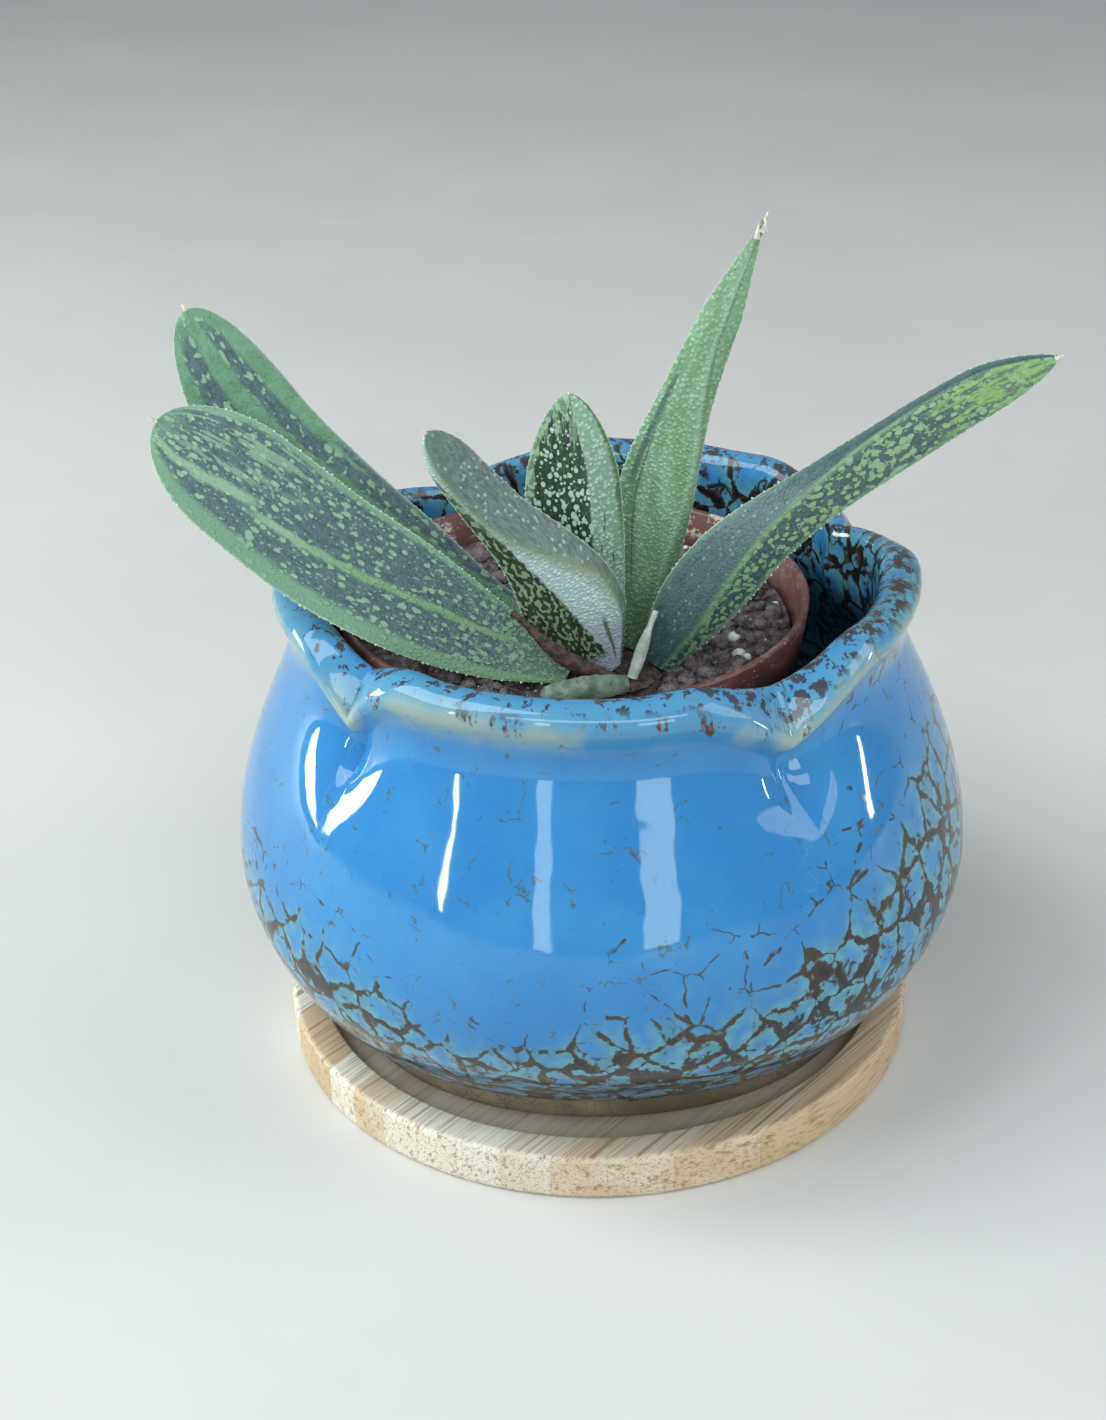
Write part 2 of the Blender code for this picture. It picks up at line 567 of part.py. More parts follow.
def make_leaf(name, form, material, collection):
    """Loft a leaf's sections along its spine and close both ends."""
    spine = [Vector(point) for point in form["spine"]]
    facing = [Vector(direction) for direction in form["facing"]]
    length = sum((b - a).length for a, b in zip(spine, spine[1:]))
    stations = max(8, round(LEAF_STATIONS * length / LEAF_LENGTH))
    shape = bmesh.new()
    rings = []
    for station in range(stations + 1):
        share = 1.0 - (1.0 - station / stations) ** 1.35
        centre = along(spine, share)
        ahead = along(spine, min(share + 0.01, 1.0)) - along(spine, max(share - 0.01, 0.0))
        ahead.normalize()
        out = along(facing, share)
        out = (out - ahead * out.dot(ahead)).normalized()
        across = ahead.cross(out)
        closing = tip_closing(share, *form["tip"])
        half_width = max(along(form["half_width"], share) * closing, NARROWEST)
        tooth = TOOTH_SIZE * (1.0 if station % 2 else -1.0) * fade(half_width, 1.5, 4.0)
        ridge = along(form["ridge"], share) * closing
        back = max(along(form["back"], share) * closing, SHALLOWEST)
        edge = MARGIN_THIN + (MARGIN_THICK - MARGIN_THIN) * fade(half_width, 1.0, 5.0)
        ridge_at = along(form["ridge_at"], share)
        section = leaf_section(half_width + tooth, ridge, ridge_at, back, form["crisp"], edge)
        rings.append([shape.verts.new((centre + across * a + out * b) * MM) for a, b in section])
    for lower, upper in zip(rings, rings[1:]):
        for index, corner in enumerate(lower):
            after = (index + 1) % len(lower)
            shape.faces.new((corner, lower[after], upper[after], upper[index]))
    shape.faces.new(rings[0])
    shape.faces.new(list(reversed(rings[-1])))
    bmesh.ops.triangulate(shape, faces=shape.faces[:])
    bmesh.ops.recalc_face_normals(shape, faces=shape.faces[:])
    mesh = bpy.data.meshes.new(name)
    shape.to_mesh(mesh)
    shape.free()
    smooth_round(mesh, 50.0)
    return add_object(name, mesh, material, collection)


def leaf_material(name, materials):
    if name == "sheath_dry":
        return materials["dry_leaf"]
    if name in ("sheath_white", "leaf_stub_front"):
        return materials["pale_leaf"]
    return materials["leaf_green"]


def main():
    clear_scene()
    parts = new_collection("gasteria_in_pot")
    cutters = new_collection("cutters")
    materials = {name: principled(name) for name in COLOURS}
    make_saucer(materials["bamboo"], parts)
    make_glazed_pot(materials["blue_glaze"], parts)
    make_liner_pot(materials["brown_plastic"], parts, cutters)
    make_soil(materials["potting_soil"], parts, cutters)
    make_stem(materials["stem_brown"], parts)
    for name, form in LEAVES.items():
        make_leaf(name, form, leaf_material(name, materials), parts)


main()
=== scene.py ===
"""A small gasteria in a plastic pot, a glazed pot and a bamboo saucer: looks, light and camera.

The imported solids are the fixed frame. Each of them is replaced by a finer piece of the same
form, with its own finish. Sizes are in millimetres and become metres when a mesh is made.
"""

import logging
import math
import random
from dataclasses import dataclass
from enum import Enum
from typing import Callable, NamedTuple, Optional, Sequence, Union

import bmesh
import bpy
from mathutils import Matrix, Vector, geometry, noise


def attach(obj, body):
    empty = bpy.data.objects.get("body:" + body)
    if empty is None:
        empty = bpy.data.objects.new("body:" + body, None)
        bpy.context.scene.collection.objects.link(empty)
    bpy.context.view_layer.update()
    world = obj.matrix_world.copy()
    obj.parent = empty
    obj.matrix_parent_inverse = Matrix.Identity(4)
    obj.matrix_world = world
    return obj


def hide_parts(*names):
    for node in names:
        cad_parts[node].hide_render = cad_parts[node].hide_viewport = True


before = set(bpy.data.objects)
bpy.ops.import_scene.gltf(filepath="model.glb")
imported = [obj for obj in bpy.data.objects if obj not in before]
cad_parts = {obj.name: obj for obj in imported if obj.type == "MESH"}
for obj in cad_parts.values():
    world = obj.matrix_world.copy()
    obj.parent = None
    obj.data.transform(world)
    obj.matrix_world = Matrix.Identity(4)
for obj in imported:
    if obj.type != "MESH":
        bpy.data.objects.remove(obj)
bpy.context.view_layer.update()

MM = 0.001
ALL_SMOOTH = 180.0
ROOT = "root"
LOG = logging.getLogger("gasteria")

Colour = tuple[float, float, float]
Pair = tuple[float, float]
Triple = tuple[float, float, float]
Number = Union[float, "Signal"]
Paint = Union[Colour, "Signal"]


def paint(red: int, green: int, blue: int) -> Colour:
    """Turn a display colour from 0 to 255 into the linear one that shaders use."""
    linear = []
    for value in (red, green, blue):
        share = value / 255.0
        linear.append(share / 12.92 if share <= 0.04045 else ((share + 0.055) / 1.055) ** 2.4)
    return linear[0], linear[1], linear[2]


def fade(value: float, low: float, high: float) -> float:
    """Rise smoothly from 0 at low to 1 at high."""
    share = min(max((value - low) / (high - low), 0.0), 1.0)
    return share * share * (3.0 - 2.0 * share)


def angle_between(first: float, second: float) -> float:
    """Give the unsigned difference of two directions in degrees."""
    return abs((first - second + 180.0) % 360.0 - 180.0)


def along(values: Sequence, share: float) -> Union[float, Vector]:
    """Read a smooth value at a share of the way along a list.

    Args:
        values: Numbers or vectors, spread evenly from share 0 to share 1.
        share: The place to read, from 0 to 1.

    Returns:
        The number or vector on a smooth curve through the list.
    """
    last = len(values) - 1
    place = min(max(share, 0.0), 1.0) * last
    index = min(int(place), last - 1)
    t = place - index
    here = values[index]
    there = values[index + 1]
    before = values[index - 1] if index > 0 else here * 2.0 - there
    after = values[index + 2] if index + 2 <= last else there * 2.0 - here
    bend = before * -1.0 + here * 3.0 - there * 3.0 + after
    slope = before * 2.0 - here * 5.0 + there * 4.0 - after
    return (here * 2.0 + (there - before) * t + slope * (t * t) + bend * (t * t * t)) * 0.5


class Signal:
    """An output socket of a finish's nodes, with the arithmetic that masks are made of."""

    def __init__(self, graph: "Graph", socket: bpy.types.NodeSocket) -> None:
        """Wrap a socket of a graph."""
        self.graph = graph
        self.socket = socket

    def math(self, operation: str, *others: Number) -> "Signal":
        """Run a Math node on this signal and on other values."""
        inputs = dict(enumerate((self, *others)))
        return self.graph.node("ShaderNodeMath", {"operation": operation}, inputs)

    def __add__(self, other: Number) -> "Signal":
        """Add a value."""
        return self.math("ADD", other)

    __radd__ = __add__

    def __sub__(self, other: Number) -> "Signal":
        """Take a value away."""
        return self.math("SUBTRACT", other)

    def __rsub__(self, other: float) -> "Signal":
        """Take this away from a number."""
        return self.graph.node("ShaderNodeMath", {"operation": "SUBTRACT"}, {0: other, 1: self})

    def __mul__(self, other: Number) -> "Signal":
        """Multiply by a value."""
        return self.math("MULTIPLY", other)

    __rmul__ = __mul__

    def __truediv__(self, other: Number) -> "Signal":
        """Divide by a value."""
        return self.math("DIVIDE", other)

    def __abs__(self) -> "Signal":
        """Drop the sign."""
        return self.math("ABSOLUTE")

    def most(self, other: Number) -> "Signal":
        """Take the larger of two values."""
        return self.math("MAXIMUM", other)

    def rise(self, low: Number, high: Number) -> "Signal":
        """Rise smoothly from 0 at low to 1 at high."""
        inputs = {"Value": self, "From Min": low, "From Max": high}
        return self.graph.node("ShaderNodeMapRange", {"interpolation_type": "SMOOTHSTEP"}, inputs)

    def fall(self, low: Number, high: Number) -> "Signal":
        """Fall smoothly from 1 at low to 0 at high."""
        return 1.0 - self.rise(low, high)

    def band(self, centre: Number, half: float, soft: float) -> "Signal":
        """Be 1 near centre and 0 further than half from it, with a soft edge."""
        return abs(self - centre).fall(half - soft, half + soft)


class Graph:
    """The node tree of one finish, built from expressions."""

    def __init__(self, name: str) -> None:
        """Start a material with an empty tree."""
        self.material = bpy.data.materials.new(name)
        self.material.use_nodes = True
        self.tree = self.material.node_tree
        self.tree.nodes.clear()

    def node(
        self,
        kind: str,
        settings: Optional[dict] = None,
        inputs: Optional[dict] = None,
        output: Union[int, str] = 0,
    ) -> Signal:
        """Add any node.

        Args:
            kind: The node's type.
            settings: Its properties, set before its inputs. "stops" sets a ramp's stops.
            inputs: Values or signals by socket name or number.
            output: The socket to read.

        Returns:
            The chosen output.
        """
        added = self.tree.nodes.new(kind)
        for key, value in (settings or {}).items():
            if key == "stops":
                self.set_stops(added.color_ramp, value)
            else:
                setattr(added, key, value)
        for key, value in (inputs or {}).items():
            if isinstance(value, Signal):
                self.tree.links.new(value.socket, added.inputs[key])
            else:
                added.inputs[key].default_value = value
        return Signal(self, added.outputs[output])

    @staticmethod
    def set_stops(ramp: bpy.types.ColorRamp, stops: Sequence[tuple[float, Colour]]) -> None:
        """Put colour stops on a ramp that starts with two."""
        while len(ramp.elements) < len(stops):
            ramp.elements.new(1.0)
        for element, (place, colour) in zip(ramp.elements, stops):
            element.position = place
            element.color = (*colour, 1.0)

    def attribute(self, name: str) -> tuple[Signal, Signal, Signal]:
        """Read a vector attribute of the mesh as three signals."""
        vector = self.node("ShaderNodeAttribute", {"attribute_name": name}, output="Vector")
        return self.split(vector)

    def split(self, vector: Signal) -> tuple[Signal, Signal, Signal]:
        """Take a vector apart."""
        parts = [self.node("ShaderNodeSeparateXYZ", {}, {0: vector}, axis) for axis in range(3)]
        return parts[0], parts[1], parts[2]

    def join(self, x: Number, y: Number, z: Number) -> Signal:
        """Make a vector of three values."""
        return self.node("ShaderNodeCombineXYZ", {}, {"X": x, "Y": y, "Z": z})

    def place(self, centre: Sequence[float] = (0.0, 0.0, 0.0), turn: float = 0.0) -> Signal:
        """Give the place on the object in millimetres.

        Args:
            centre: The point in millimetres that becomes the origin.
            turn: How far the pattern's axes are turned about the vertical, in degrees.

        Returns:
            The vector from centre.
        """
        coordinates = self.node("ShaderNodeTexCoord", {}, {}, "Object")
        inputs = {
            "Vector": coordinates,
            "Location": tuple(-value for value in centre),
            "Scale": (1.0 / MM, 1.0 / MM, 1.0 / MM),
        }
        moved = self.node("ShaderNodeMapping", {"vector_type": "POINT"}, inputs)
        if turn == 0.0:
            return moved
        spin = {"Vector": moved, "Rotation": (0.0, 0.0, math.radians(-turn))}
        return self.node("ShaderNodeMapping", {"vector_type": "POINT"}, spin)

    def scaled(self, vector: Signal, factors: Sequence[float]) -> Signal:
        """Multiply a vector's three parts by numbers."""
        return self.node("ShaderNodeVectorMath", {"operation": "MULTIPLY"}, {0: vector, 1: tuple(factors)})

    def warped(self, vector: Signal, scale: float, reach: float) -> Signal:
        """Push a vector about by a soft noise.

        Args:
            vector: The place in millimetres.
            scale: The noise's scale per millimetre.
            reach: How far it pushes, in millimetres.

        Returns:
            The pushed vector.
        """
        inputs = {"Vector": vector, "Scale": scale, "Detail": 2.0}
        swirl = self.node("ShaderNodeTexNoise", {}, inputs, "Color")
        middle = {0: swirl, 1: (0.5, 0.5, 0.5)}
        centred = self.node("ShaderNodeVectorMath", {"operation": "SUBTRACT"}, middle)
        push = self.scaled(centred, (reach * 2.0, reach * 2.0, reach * 2.0))
        return self.node("ShaderNodeVectorMath", {"operation": "ADD"}, {0: vector, 1: push})

    def noise(self, vector: Signal, scale: float, detail: float = 3.0, rough: float = 0.5) -> Signal:
        """Sample soft noise from 0 to 1."""
        inputs = {"Vector": vector, "Scale": scale, "Detail": detail, "Roughness": rough}
        return self.node("ShaderNodeTexNoise", {}, inputs)

    def cells(self, vector: Signal, scale: float, feature: str = "F1") -> Signal:
        """Sample a cell pattern: the distance to a cell's centre or edge."""
        inputs = {"Vector": vector, "Scale": scale}
        return self.node("ShaderNodeTexVoronoi", {"feature": feature}, inputs, "Distance")

    def mix(self, share: Number, first: Paint, second: Paint) -> Signal:
        """Blend two colours."""
        inputs = {}
        for key, value in ((0, share), (6, first), (7, second)):
            is_colour = isinstance(value, tuple)
            inputs[key] = (*value, 1.0) if is_colour else value
        return self.node("ShaderNodeMix", {"data_type": "RGBA"}, inputs, 2)

    def bump(self, height: Signal, depth: float, under: Optional[Signal] = None) -> Signal:
        """Turn a height from 0 to 1 into a normal.

        Args:
            height: The relief.
            depth: What a height of 1 stands for, in millimetres.
            under: A normal that this one is laid over.

        Returns:
            The normal.
        """
        inputs: dict = {"Height": height, "Strength": 1.0, "Distance": depth * MM}
        if under is not None:
            inputs["Normal"] = under
        return self.node("ShaderNodeBump", {}, inputs)

    def finish(
        self, colour: Paint, roughness: Number, normal: Optional[Signal] = None, **fixed: float
    ) -> bpy.types.Material:
        """Close the tree with its surface.

        Args:
            colour: The base colour or its signal.
            roughness: The roughness or its signal.
            normal: The normal, if there is relief.
            fixed: Other inputs of the surface, each the same all over.

        Returns:
            The material.
        """
        inputs: dict = {"Base Color": (*colour, 1.0) if isinstance(colour, tuple) else colour}
        inputs["Roughness"] = roughness
        if normal is not None:
            inputs["Normal"] = normal
        for key, value in fixed.items():
            inputs[key.replace("_", " ").title().replace("Ior", "IOR")] = value
        surface = self.node("ShaderNodeBsdfPrincipled", {}, inputs)
        output = self.tree.nodes.new("ShaderNodeOutputMaterial")
        self.tree.links.new(surface.socket, output.inputs["Surface"])
        return self.material


@dataclass(frozen=True)
class BambooFinish:
    """Laminated bamboo: strips with brown fibres, dots where they end on the side."""

    recess_radius: float
    rim_height: float
    pale: Colour = paint(222, 216, 202)
    tan: Colour = paint(194, 168, 134)
    fibre: Colour = paint(138, 98, 60)
    dot: Colour = paint(148, 120, 90)
    recess_darkening: Colour = paint(184, 174, 158)
    grain_turn: float = 48.0
    strip_width: float = 6.4

    def build(self) -> bpy.types.Material:
        """Make the material."""
        graph = Graph("bamboo")
        place = graph.place(turn=self.grain_turn)
        x, y, z = graph.split(place)
        strip = (y / self.strip_width).math("FLOOR")
        tone = graph.node("ShaderNodeTexWhiteNoise", {"noise_dimensions": "1D"}, {"W": strip})
        drift = graph.noise(graph.join(x * 0.010, y * 0.35, z * 0.2), 1.0, 3.0)
        threads = graph.noise(graph.join(x * 0.022, y * 3.4, z * 3.4), 1.0, 4.0, 0.7)
        streaks = graph.noise(graph.join(x * 0.016, y * 1.3, z * 1.3 + strip * 3.1), 1.0, 3.0, 0.6)
        base = graph.mix((tone * 0.7 + drift * 0.6).rise(0.2, 1.0), self.pale, self.tan)
        base = graph.mix(streaks.rise(0.54, 0.68) * 0.7, base, self.fibre)
        base = graph.mix(threads.rise(0.52, 0.70) * 0.55, base, self.fibre)
        bundles = graph.cells(graph.join(x * 0.03, y, z), 2.1)
        pores = bundles.fall(0.20, 0.40)
        base = graph.mix(pores * 0.55, base, self.dot)
        joint = (y / self.strip_width).math("FRACT").band(0.0, 0.012, 0.01)
        base = graph.mix(joint * 0.35, base, self.fibre)
        outwards = {0: graph.join(x, y, 0.0)}
        radius = graph.node("ShaderNodeVectorMath", {"operation": "LENGTH"}, outwards, "Value")
        in_recess = radius.fall(self.recess_radius - 0.4, self.recess_radius + 0.4)
        in_recess = in_recess * z.fall(self.rim_height - 1.6, self.rim_height - 0.4)
        # The recess is painted darker, more so in mottled patches.
        recess_mottle = graph.noise(place, 0.09, 4.0, 0.6)
        base = graph.mix(in_recess * (0.35 + recess_mottle * 0.5), base, self.recess_darkening)
        relief = threads * 0.5 + pores * -0.4 + joint * -0.6
        return graph.finish(base, 0.42 + threads * 0.2, graph.bump(relief, 0.05), coat_weight=0.06)


@dataclass(frozen=True)
class GlazeFinish:
    """Blue glaze over brown clay: veined cells low down, a cream lip, a bare foot and painted shade inside
    the mouth.
    """

    centre: Pair
    foot_top: float
    blue: Colour = paint(47, 122, 183)
    blue_light: Colour = paint(57, 132, 189)
    cell: Colour = paint(84, 136, 146)
    cell_light: Colour = paint(96, 156, 172)
    vein_olive: Colour = paint(62, 60, 32)
    vein_rust: Colour = paint(60, 37, 18)
    vein_dark: Colour = paint(22, 11, 12)
    stray: Colour = paint(78, 86, 48)
    # Painted shade: the dark blue laid over the inner wall where it lies in shade.
    painted_inner_shade: Colour = paint(24, 44, 62)
    cream: Colour = paint(172, 178, 142)
    rust: Colour = paint(84, 50, 20)
    clay: Colour = paint(150, 136, 114)
    clay_dark: Colour = paint(100, 88, 72)

    def build(self) -> bpy.types.Material:
        """Make the material."""
        graph = Graph("blue_glaze")
        place = graph.place((self.centre[0], self.centre[1], 0.0))
        level, from_crest, crease = graph.attribute("glaze_place")
        patches = graph.noise(place, 0.075, 4.0, 0.6)
        busy = self.busy(graph, place, level, from_crest, patches)
        base = graph.mix(patches.rise(0.35, 0.7), self.blue, self.blue_light)
        veins, pools, darkness = self.veins(graph, place, level, busy)
        light = graph.noise(place, 0.5, 2.0).rise(0.4, 0.6)
        base = graph.mix(pools * 0.85, base, graph.mix(light, self.cell, self.cell_light))
        stops = {"stops": ((0.0, self.vein_olive), (0.42, self.vein_rust), (0.9, self.vein_dark))}
        vein_colour = graph.node("ShaderNodeValToRGB", stops, {"Fac": darkness})
        base = graph.mix(veins * 0.96, base, vein_colour)
        base = graph.mix(self.strays(graph, place) * 0.75, base, self.stray)
        # Painted shade: the inner wall darkens from 14 mm below the crest inwards, into the shade between
        # the wall and the nursery pot.
        base = graph.mix(from_crest.fall(-34.0, -14.0) * 0.75, base, self.painted_inner_shade)
        base = self.lip(graph, place, from_crest, crease, base)
        base = self.cracks(graph, place, level, crease, base)
        bare, base = self.foot(graph, place, level, patches, base)
        gloss = 0.05 + veins * 0.10 + bare * 0.5
        relief = graph.bump(graph.noise(place, 0.11, 2.0, 0.4), 0.12)
        relief = graph.bump(bare * -1.0, 0.06, relief)
        return graph.finish(base, gloss, relief, ior=1.5)

    @staticmethod
    def busy(graph: Graph, place: Signal, level: Signal, from_crest: Signal, patches: Signal) -> Signal:
        """Say how veined a place is: most at the bottom, on the right and inside.

        Args:
            graph: The finish's nodes.
            place: The place about the pot's axis.
            level: The height on the unpleated pot.
            from_crest: The way round the wall from the lip's crest, inwards below 0.
            patches: Large soft noise.

        Returns:
            A share from 0 to 1.
        """
        x, y, _ = graph.split(place)
        right = x.rise(10.0, 50.0) * 36.0
        left = (x * -1.0).rise(22.0, 50.0) * 14.0
        behind = y.rise(6.0, 44.0) * 24.0
        front = x.band(8.0, 14.0, 20.0) * y.fall(-40.0, -20.0) * 12.0
        top = right.most(left).most(behind) + front + 37.0 + (patches - 0.5) * 34.0
        low = (level / top).fall(0.34, 1.0)
        inside = from_crest.fall(-8.0, -3.5) * 0.72
        right_lip = x.rise(24.0, 46.0) * level.rise(62.0, 70.0) * 0.6
        return low.most(inside).most(right_lip)

    @staticmethod
    def veins(graph: Graph, place: Signal, level: Signal, busy: Signal) -> tuple[Signal, Signal, Signal]:
        """Draw the network.

        Args:
            graph: The finish's nodes.
            place: The place about the pot's axis.
            level: The height on the unpleated pot.
            busy: How veined a place is.

        Returns:
            Where there is a vein, where the glaze round it is grey, and how dark it is.
        """
        broken = graph.noise(place, 0.36, 3.2, 0.58)
        thick = broken.rise(0.34, 0.58)
        warped = graph.warped(graph.warped(place, 0.22, 1.3), 1.6, 0.14)
        broad = graph.cells(warped, 0.165, "DISTANCE_TO_EDGE")
        fine = graph.cells(graph.warped(place, 0.9, 0.6), 0.42, "DISTANCE_TO_EDGE")
        reach = busy.rise(0.0, 0.7) * thick
        gaps = graph.noise(place, 0.50, 1.5, 0.5)
        kept = (gaps + busy * 0.42).rise(0.54, 0.60)
        broad_vein = broad.fall(reach * 0.08, reach * 0.125 + 0.022) * kept * busy.rise(0.02, 0.08)
        fine_vein = fine.fall(reach * 0.05, reach * 0.12 + 0.02) * (broken + busy * 0.14).rise(0.60, 0.66)
        fine_vein = fine_vein * busy.rise(0.3, 0.6)
        clots = (broken + busy * 0.15).rise(0.70, 0.74) * busy.rise(0.5, 0.8)
        hem = level.fall(9.4, 11.0) * graph.noise(place, 0.26, 4.0, 0.6).rise(0.47, 0.53)
        veins = broad_vein.most(fine_vein).most(clots).most(hem)
        pools = broad.fall(0.06, 0.40) * busy.rise(0.12, 0.6)
        core = broad.fall(0.02, 0.10).most(clots).most(hem)
        darkness = (busy * 0.70 + broken * 0.70 + hem * 0.4).rise(0.45, 1.0) * (core * 0.7 + 0.3)
        return veins, pools, darkness

    @staticmethod
    def strays(graph: Graph, place: Signal) -> Signal:
        """Draw thin broken olive strokes all over."""
        edges = graph.cells(graph.warped(place, 0.45, 1.8), 0.17, "DISTANCE_TO_EDGE")
        where = graph.noise(graph.scaled(place, (1.0, 1.0, 0.7)), 0.34, 3.0, 0.7).rise(0.56, 0.60)
        return edges.fall(0.006, 0.026) * where

    def lip(
        self, graph: Graph, place: Signal, from_crest: Signal, crease: Signal, base: Signal
    ) -> Signal:
        """Lay the cream crest, its rust runs and the brown spots on the inner edge over a colour.

        Args:
            graph: The finish's nodes.
            place: The place about the pot's axis.
            from_crest: The way round the wall from the lip's crest, inwards below 0.
            crease: How close a place is to a pleat's crease.
            base: The glaze's colour.

        Returns:
            The colour with the lip's marks.
        """
        runs = graph.noise(graph.scaled(place, (1.0, 1.0, 0.25)), 0.5, 3.0, 0.6)
        sway = (runs - 0.5) * 1.8
        base = graph.mix(from_crest.band(-1.5, 4.0, 2.5) * 0.45, base, self.cell_light)
        crest = (from_crest + sway).band(1.4, 2.4, 2.2) * graph.noise(place, 0.10, 2.0).rise(0.36, 0.58)
        corner = crease.rise(0.10, 0.7) * (from_crest + sway).band(1.0, 3.0, 2.0)
        base = graph.mix(crest.most(corner) * 0.6, base, self.cream)
        rust = graph.noise(graph.scaled(place, (1.0, 1.0, 0.45)), 0.28, 4.0, 0.7).rise(0.585, 0.65)
        base = graph.mix(rust * from_crest.band(1.2, 2.2, 1.4), base, self.rust)
        x, _, _ = graph.split(place)
        speckle = graph.noise(graph.scaled(place, (1.0, 1.0, 0.7)), 0.50, 3.0, 0.7)
        speckle = (speckle + x.rise(-20.0, 40.0) * 0.07 - 0.025).rise(0.53, 0.58)
        edge = from_crest.band(-4.2, 2.4, 1.0) * speckle
        return graph.mix(edge * 0.85, base, self.vein_rust)

    def cracks(
        self, graph: Graph, place: Signal, level: Signal, crease: Signal, base: Signal
    ) -> Signal:
        """Draw pale hairlines down from the pleats.

        Args:
            graph: The finish's nodes.
            place: The place about the pot's axis.
            level: The height on the unpleated pot.
            crease: How close a place is to a pleat's crease.
            base: The glaze's colour.

        Returns:
            The colour with the hairlines.
        """
        x, y, z = graph.split(graph.warped(place, 0.35, 0.8))
        line = graph.cells(graph.join(x, y, z * 0.18), 0.45, "DISTANCE_TO_EDGE").fall(0.004, 0.02)
        where = crease.rise(0.35, 0.75) * level.band(56.0, 12.0, 5.0)
        return graph.mix(line * where * 0.45, base, self.cell_light)

    def foot(
        self, graph: Graph, place: Signal, level: Signal, patches: Signal, base: Signal
    ) -> tuple[Signal, Signal]:
        """Bare the clay under the glaze's lower edge.

        Args:
            graph: The finish's nodes.
            place: The place about the pot's axis.
            level: The height on the unpleated pot.
            patches: Large soft noise.
            base: The glaze's colour.

        Returns:
            Where the clay is bare, and the colour with it.
        """
        drips = graph.noise(graph.scaled(place, (1.0, 1.0, 0.3)), 0.30, 3.0, 0.6)
        bare = (level + (drips - 0.5) * 3.4).fall(self.foot_top, self.foot_top + 0.35)
        crackle = graph.cells(graph.warped(place, 0.6, 1.0), 0.40, "DISTANCE_TO_EDGE").fall(0.01, 0.05)
        clay = graph.mix(patches.rise(0.3, 0.7), self.clay, self.clay_dark)
        clay = graph.mix(crackle * 0.7, clay, self.clay_dark)
        return bare, graph.mix(bare, base, clay)


@dataclass(frozen=True)
class PlasticFinish:
    """Thin red-brown plastic with dried lime under its rim."""

    body: Colour = paint(112, 66, 62)
    shade: Colour = paint(88, 52, 50)
    lime: Colour = paint(205, 196, 184)
    soil: Colour = paint(72, 58, 50)
    rim: float = 72.0
    axis: Pair = (-2.6, -1.0)

    def build(self) -> bpy.types.Material:
        """Make the material."""
        graph = Graph("brown_plastic")
        place = graph.place((self.axis[0], self.axis[1], 0.0))
        x, y, z = graph.split(place)
        tone = graph.noise(place, 0.12, 3.0)
        base = graph.mix(tone.rise(0.3, 0.75), self.body, self.shade)
        crust = graph.noise(graph.scaled(place, (1.0, 1.0, 1.6)), 0.28, 5.0, 0.7)
        back = (y - x * 0.4).rise(-4.0, 22.0)
        ring = z.band(self.rim - 1.6, 2.2, 0.8)
        lime = crust.rise(0.52, 0.60) * ring * (0.12 + back * 0.88)
        specks = graph.noise(place, 1.5, 2.0, 0.5).rise(0.66, 0.72) * z.rise(self.rim - 6.0, self.rim - 2.0)
        base = graph.mix(z.fall(self.rim - 5.5, self.rim - 3.0) * 0.5, base, self.soil)
        base = graph.mix(lime.most(specks * 0.5), base, self.lime)
        scuff = graph.noise(graph.scaled(place, (1.0, 1.0, 4.0)), 0.9, 3.0)
        relief = graph.bump(lime + scuff * 0.15, 0.12)
        return graph.finish(base, 0.34 + lime * 0.4 + scuff * 0.1, relief)


@dataclass(frozen=True)
class CompostFinish:
    """Dark potting mix, from wet black to dry brown."""

    dark: Colour = paint(60, 54, 57)
    brown: Colour = paint(130, 118, 118)
    dry: Colour = paint(186, 176, 170)

    def build(self, name: str, dryness: float) -> bpy.types.Material:
        """Make the material.

        Args:
            name: What the material is called.
            dryness: How much of the pale dry colour shows, from 0 to 1.

        Returns:
            The material.
        """
        graph = Graph(name)
        place = graph.place()
        clods = graph.noise(place, 0.5, 5.0, 0.7)
        grit = graph.noise(place, 3.2, 3.0, 0.6)
        base = graph.mix(clods.rise(0.36, 0.66), self.dark, self.brown)
        base = graph.mix(grit.rise(0.52, 0.78) * dryness, base, self.dry)
        relief = graph.bump(clods + grit * 0.5, 0.6)
        return graph.finish(base, 0.92 - grit * 0.25, relief)


@dataclass(frozen=True)
class PlainFinish:
    """A finish with one colour that drifts to a second in soft patches."""

    name: str
    colour: Colour
    second: Colour
    roughness: float = 0.6
    scale: float = 0.5
    relief: float = 0.05

    def build(self) -> bpy.types.Material:
        """Make the material."""
        graph = Graph(self.name)
        place = graph.place()
        drift = graph.noise(place, self.scale, 4.0, 0.6)
        base = graph.mix(drift.rise(0.35, 0.65), self.colour, self.second)
        return graph.finish(base, self.roughness, graph.bump(drift, self.relief))


class Skin(NamedTuple):
    """Where a point lies on its leaf, as signals."""

    flat: Signal
    width: Signal
    share: Signal
    past_ridge: Signal


class Painted(NamedTuple):
    """What a leaf's painter hands back: its colour, its relief and its roughness."""

    colour: Signal
    marks: Signal
    roughness: float


class LeafLook(Enum):
    """The markings that the leaves of this plant wear."""

    STRIPED = "striped"
    BANDED = "banded"
    RECURVED = "recurved"
    SPECKLED = "speckled"
    PEBBLED = "pebbled"
    BLOTCHED = "blotched"
    WITHERED = "withered"


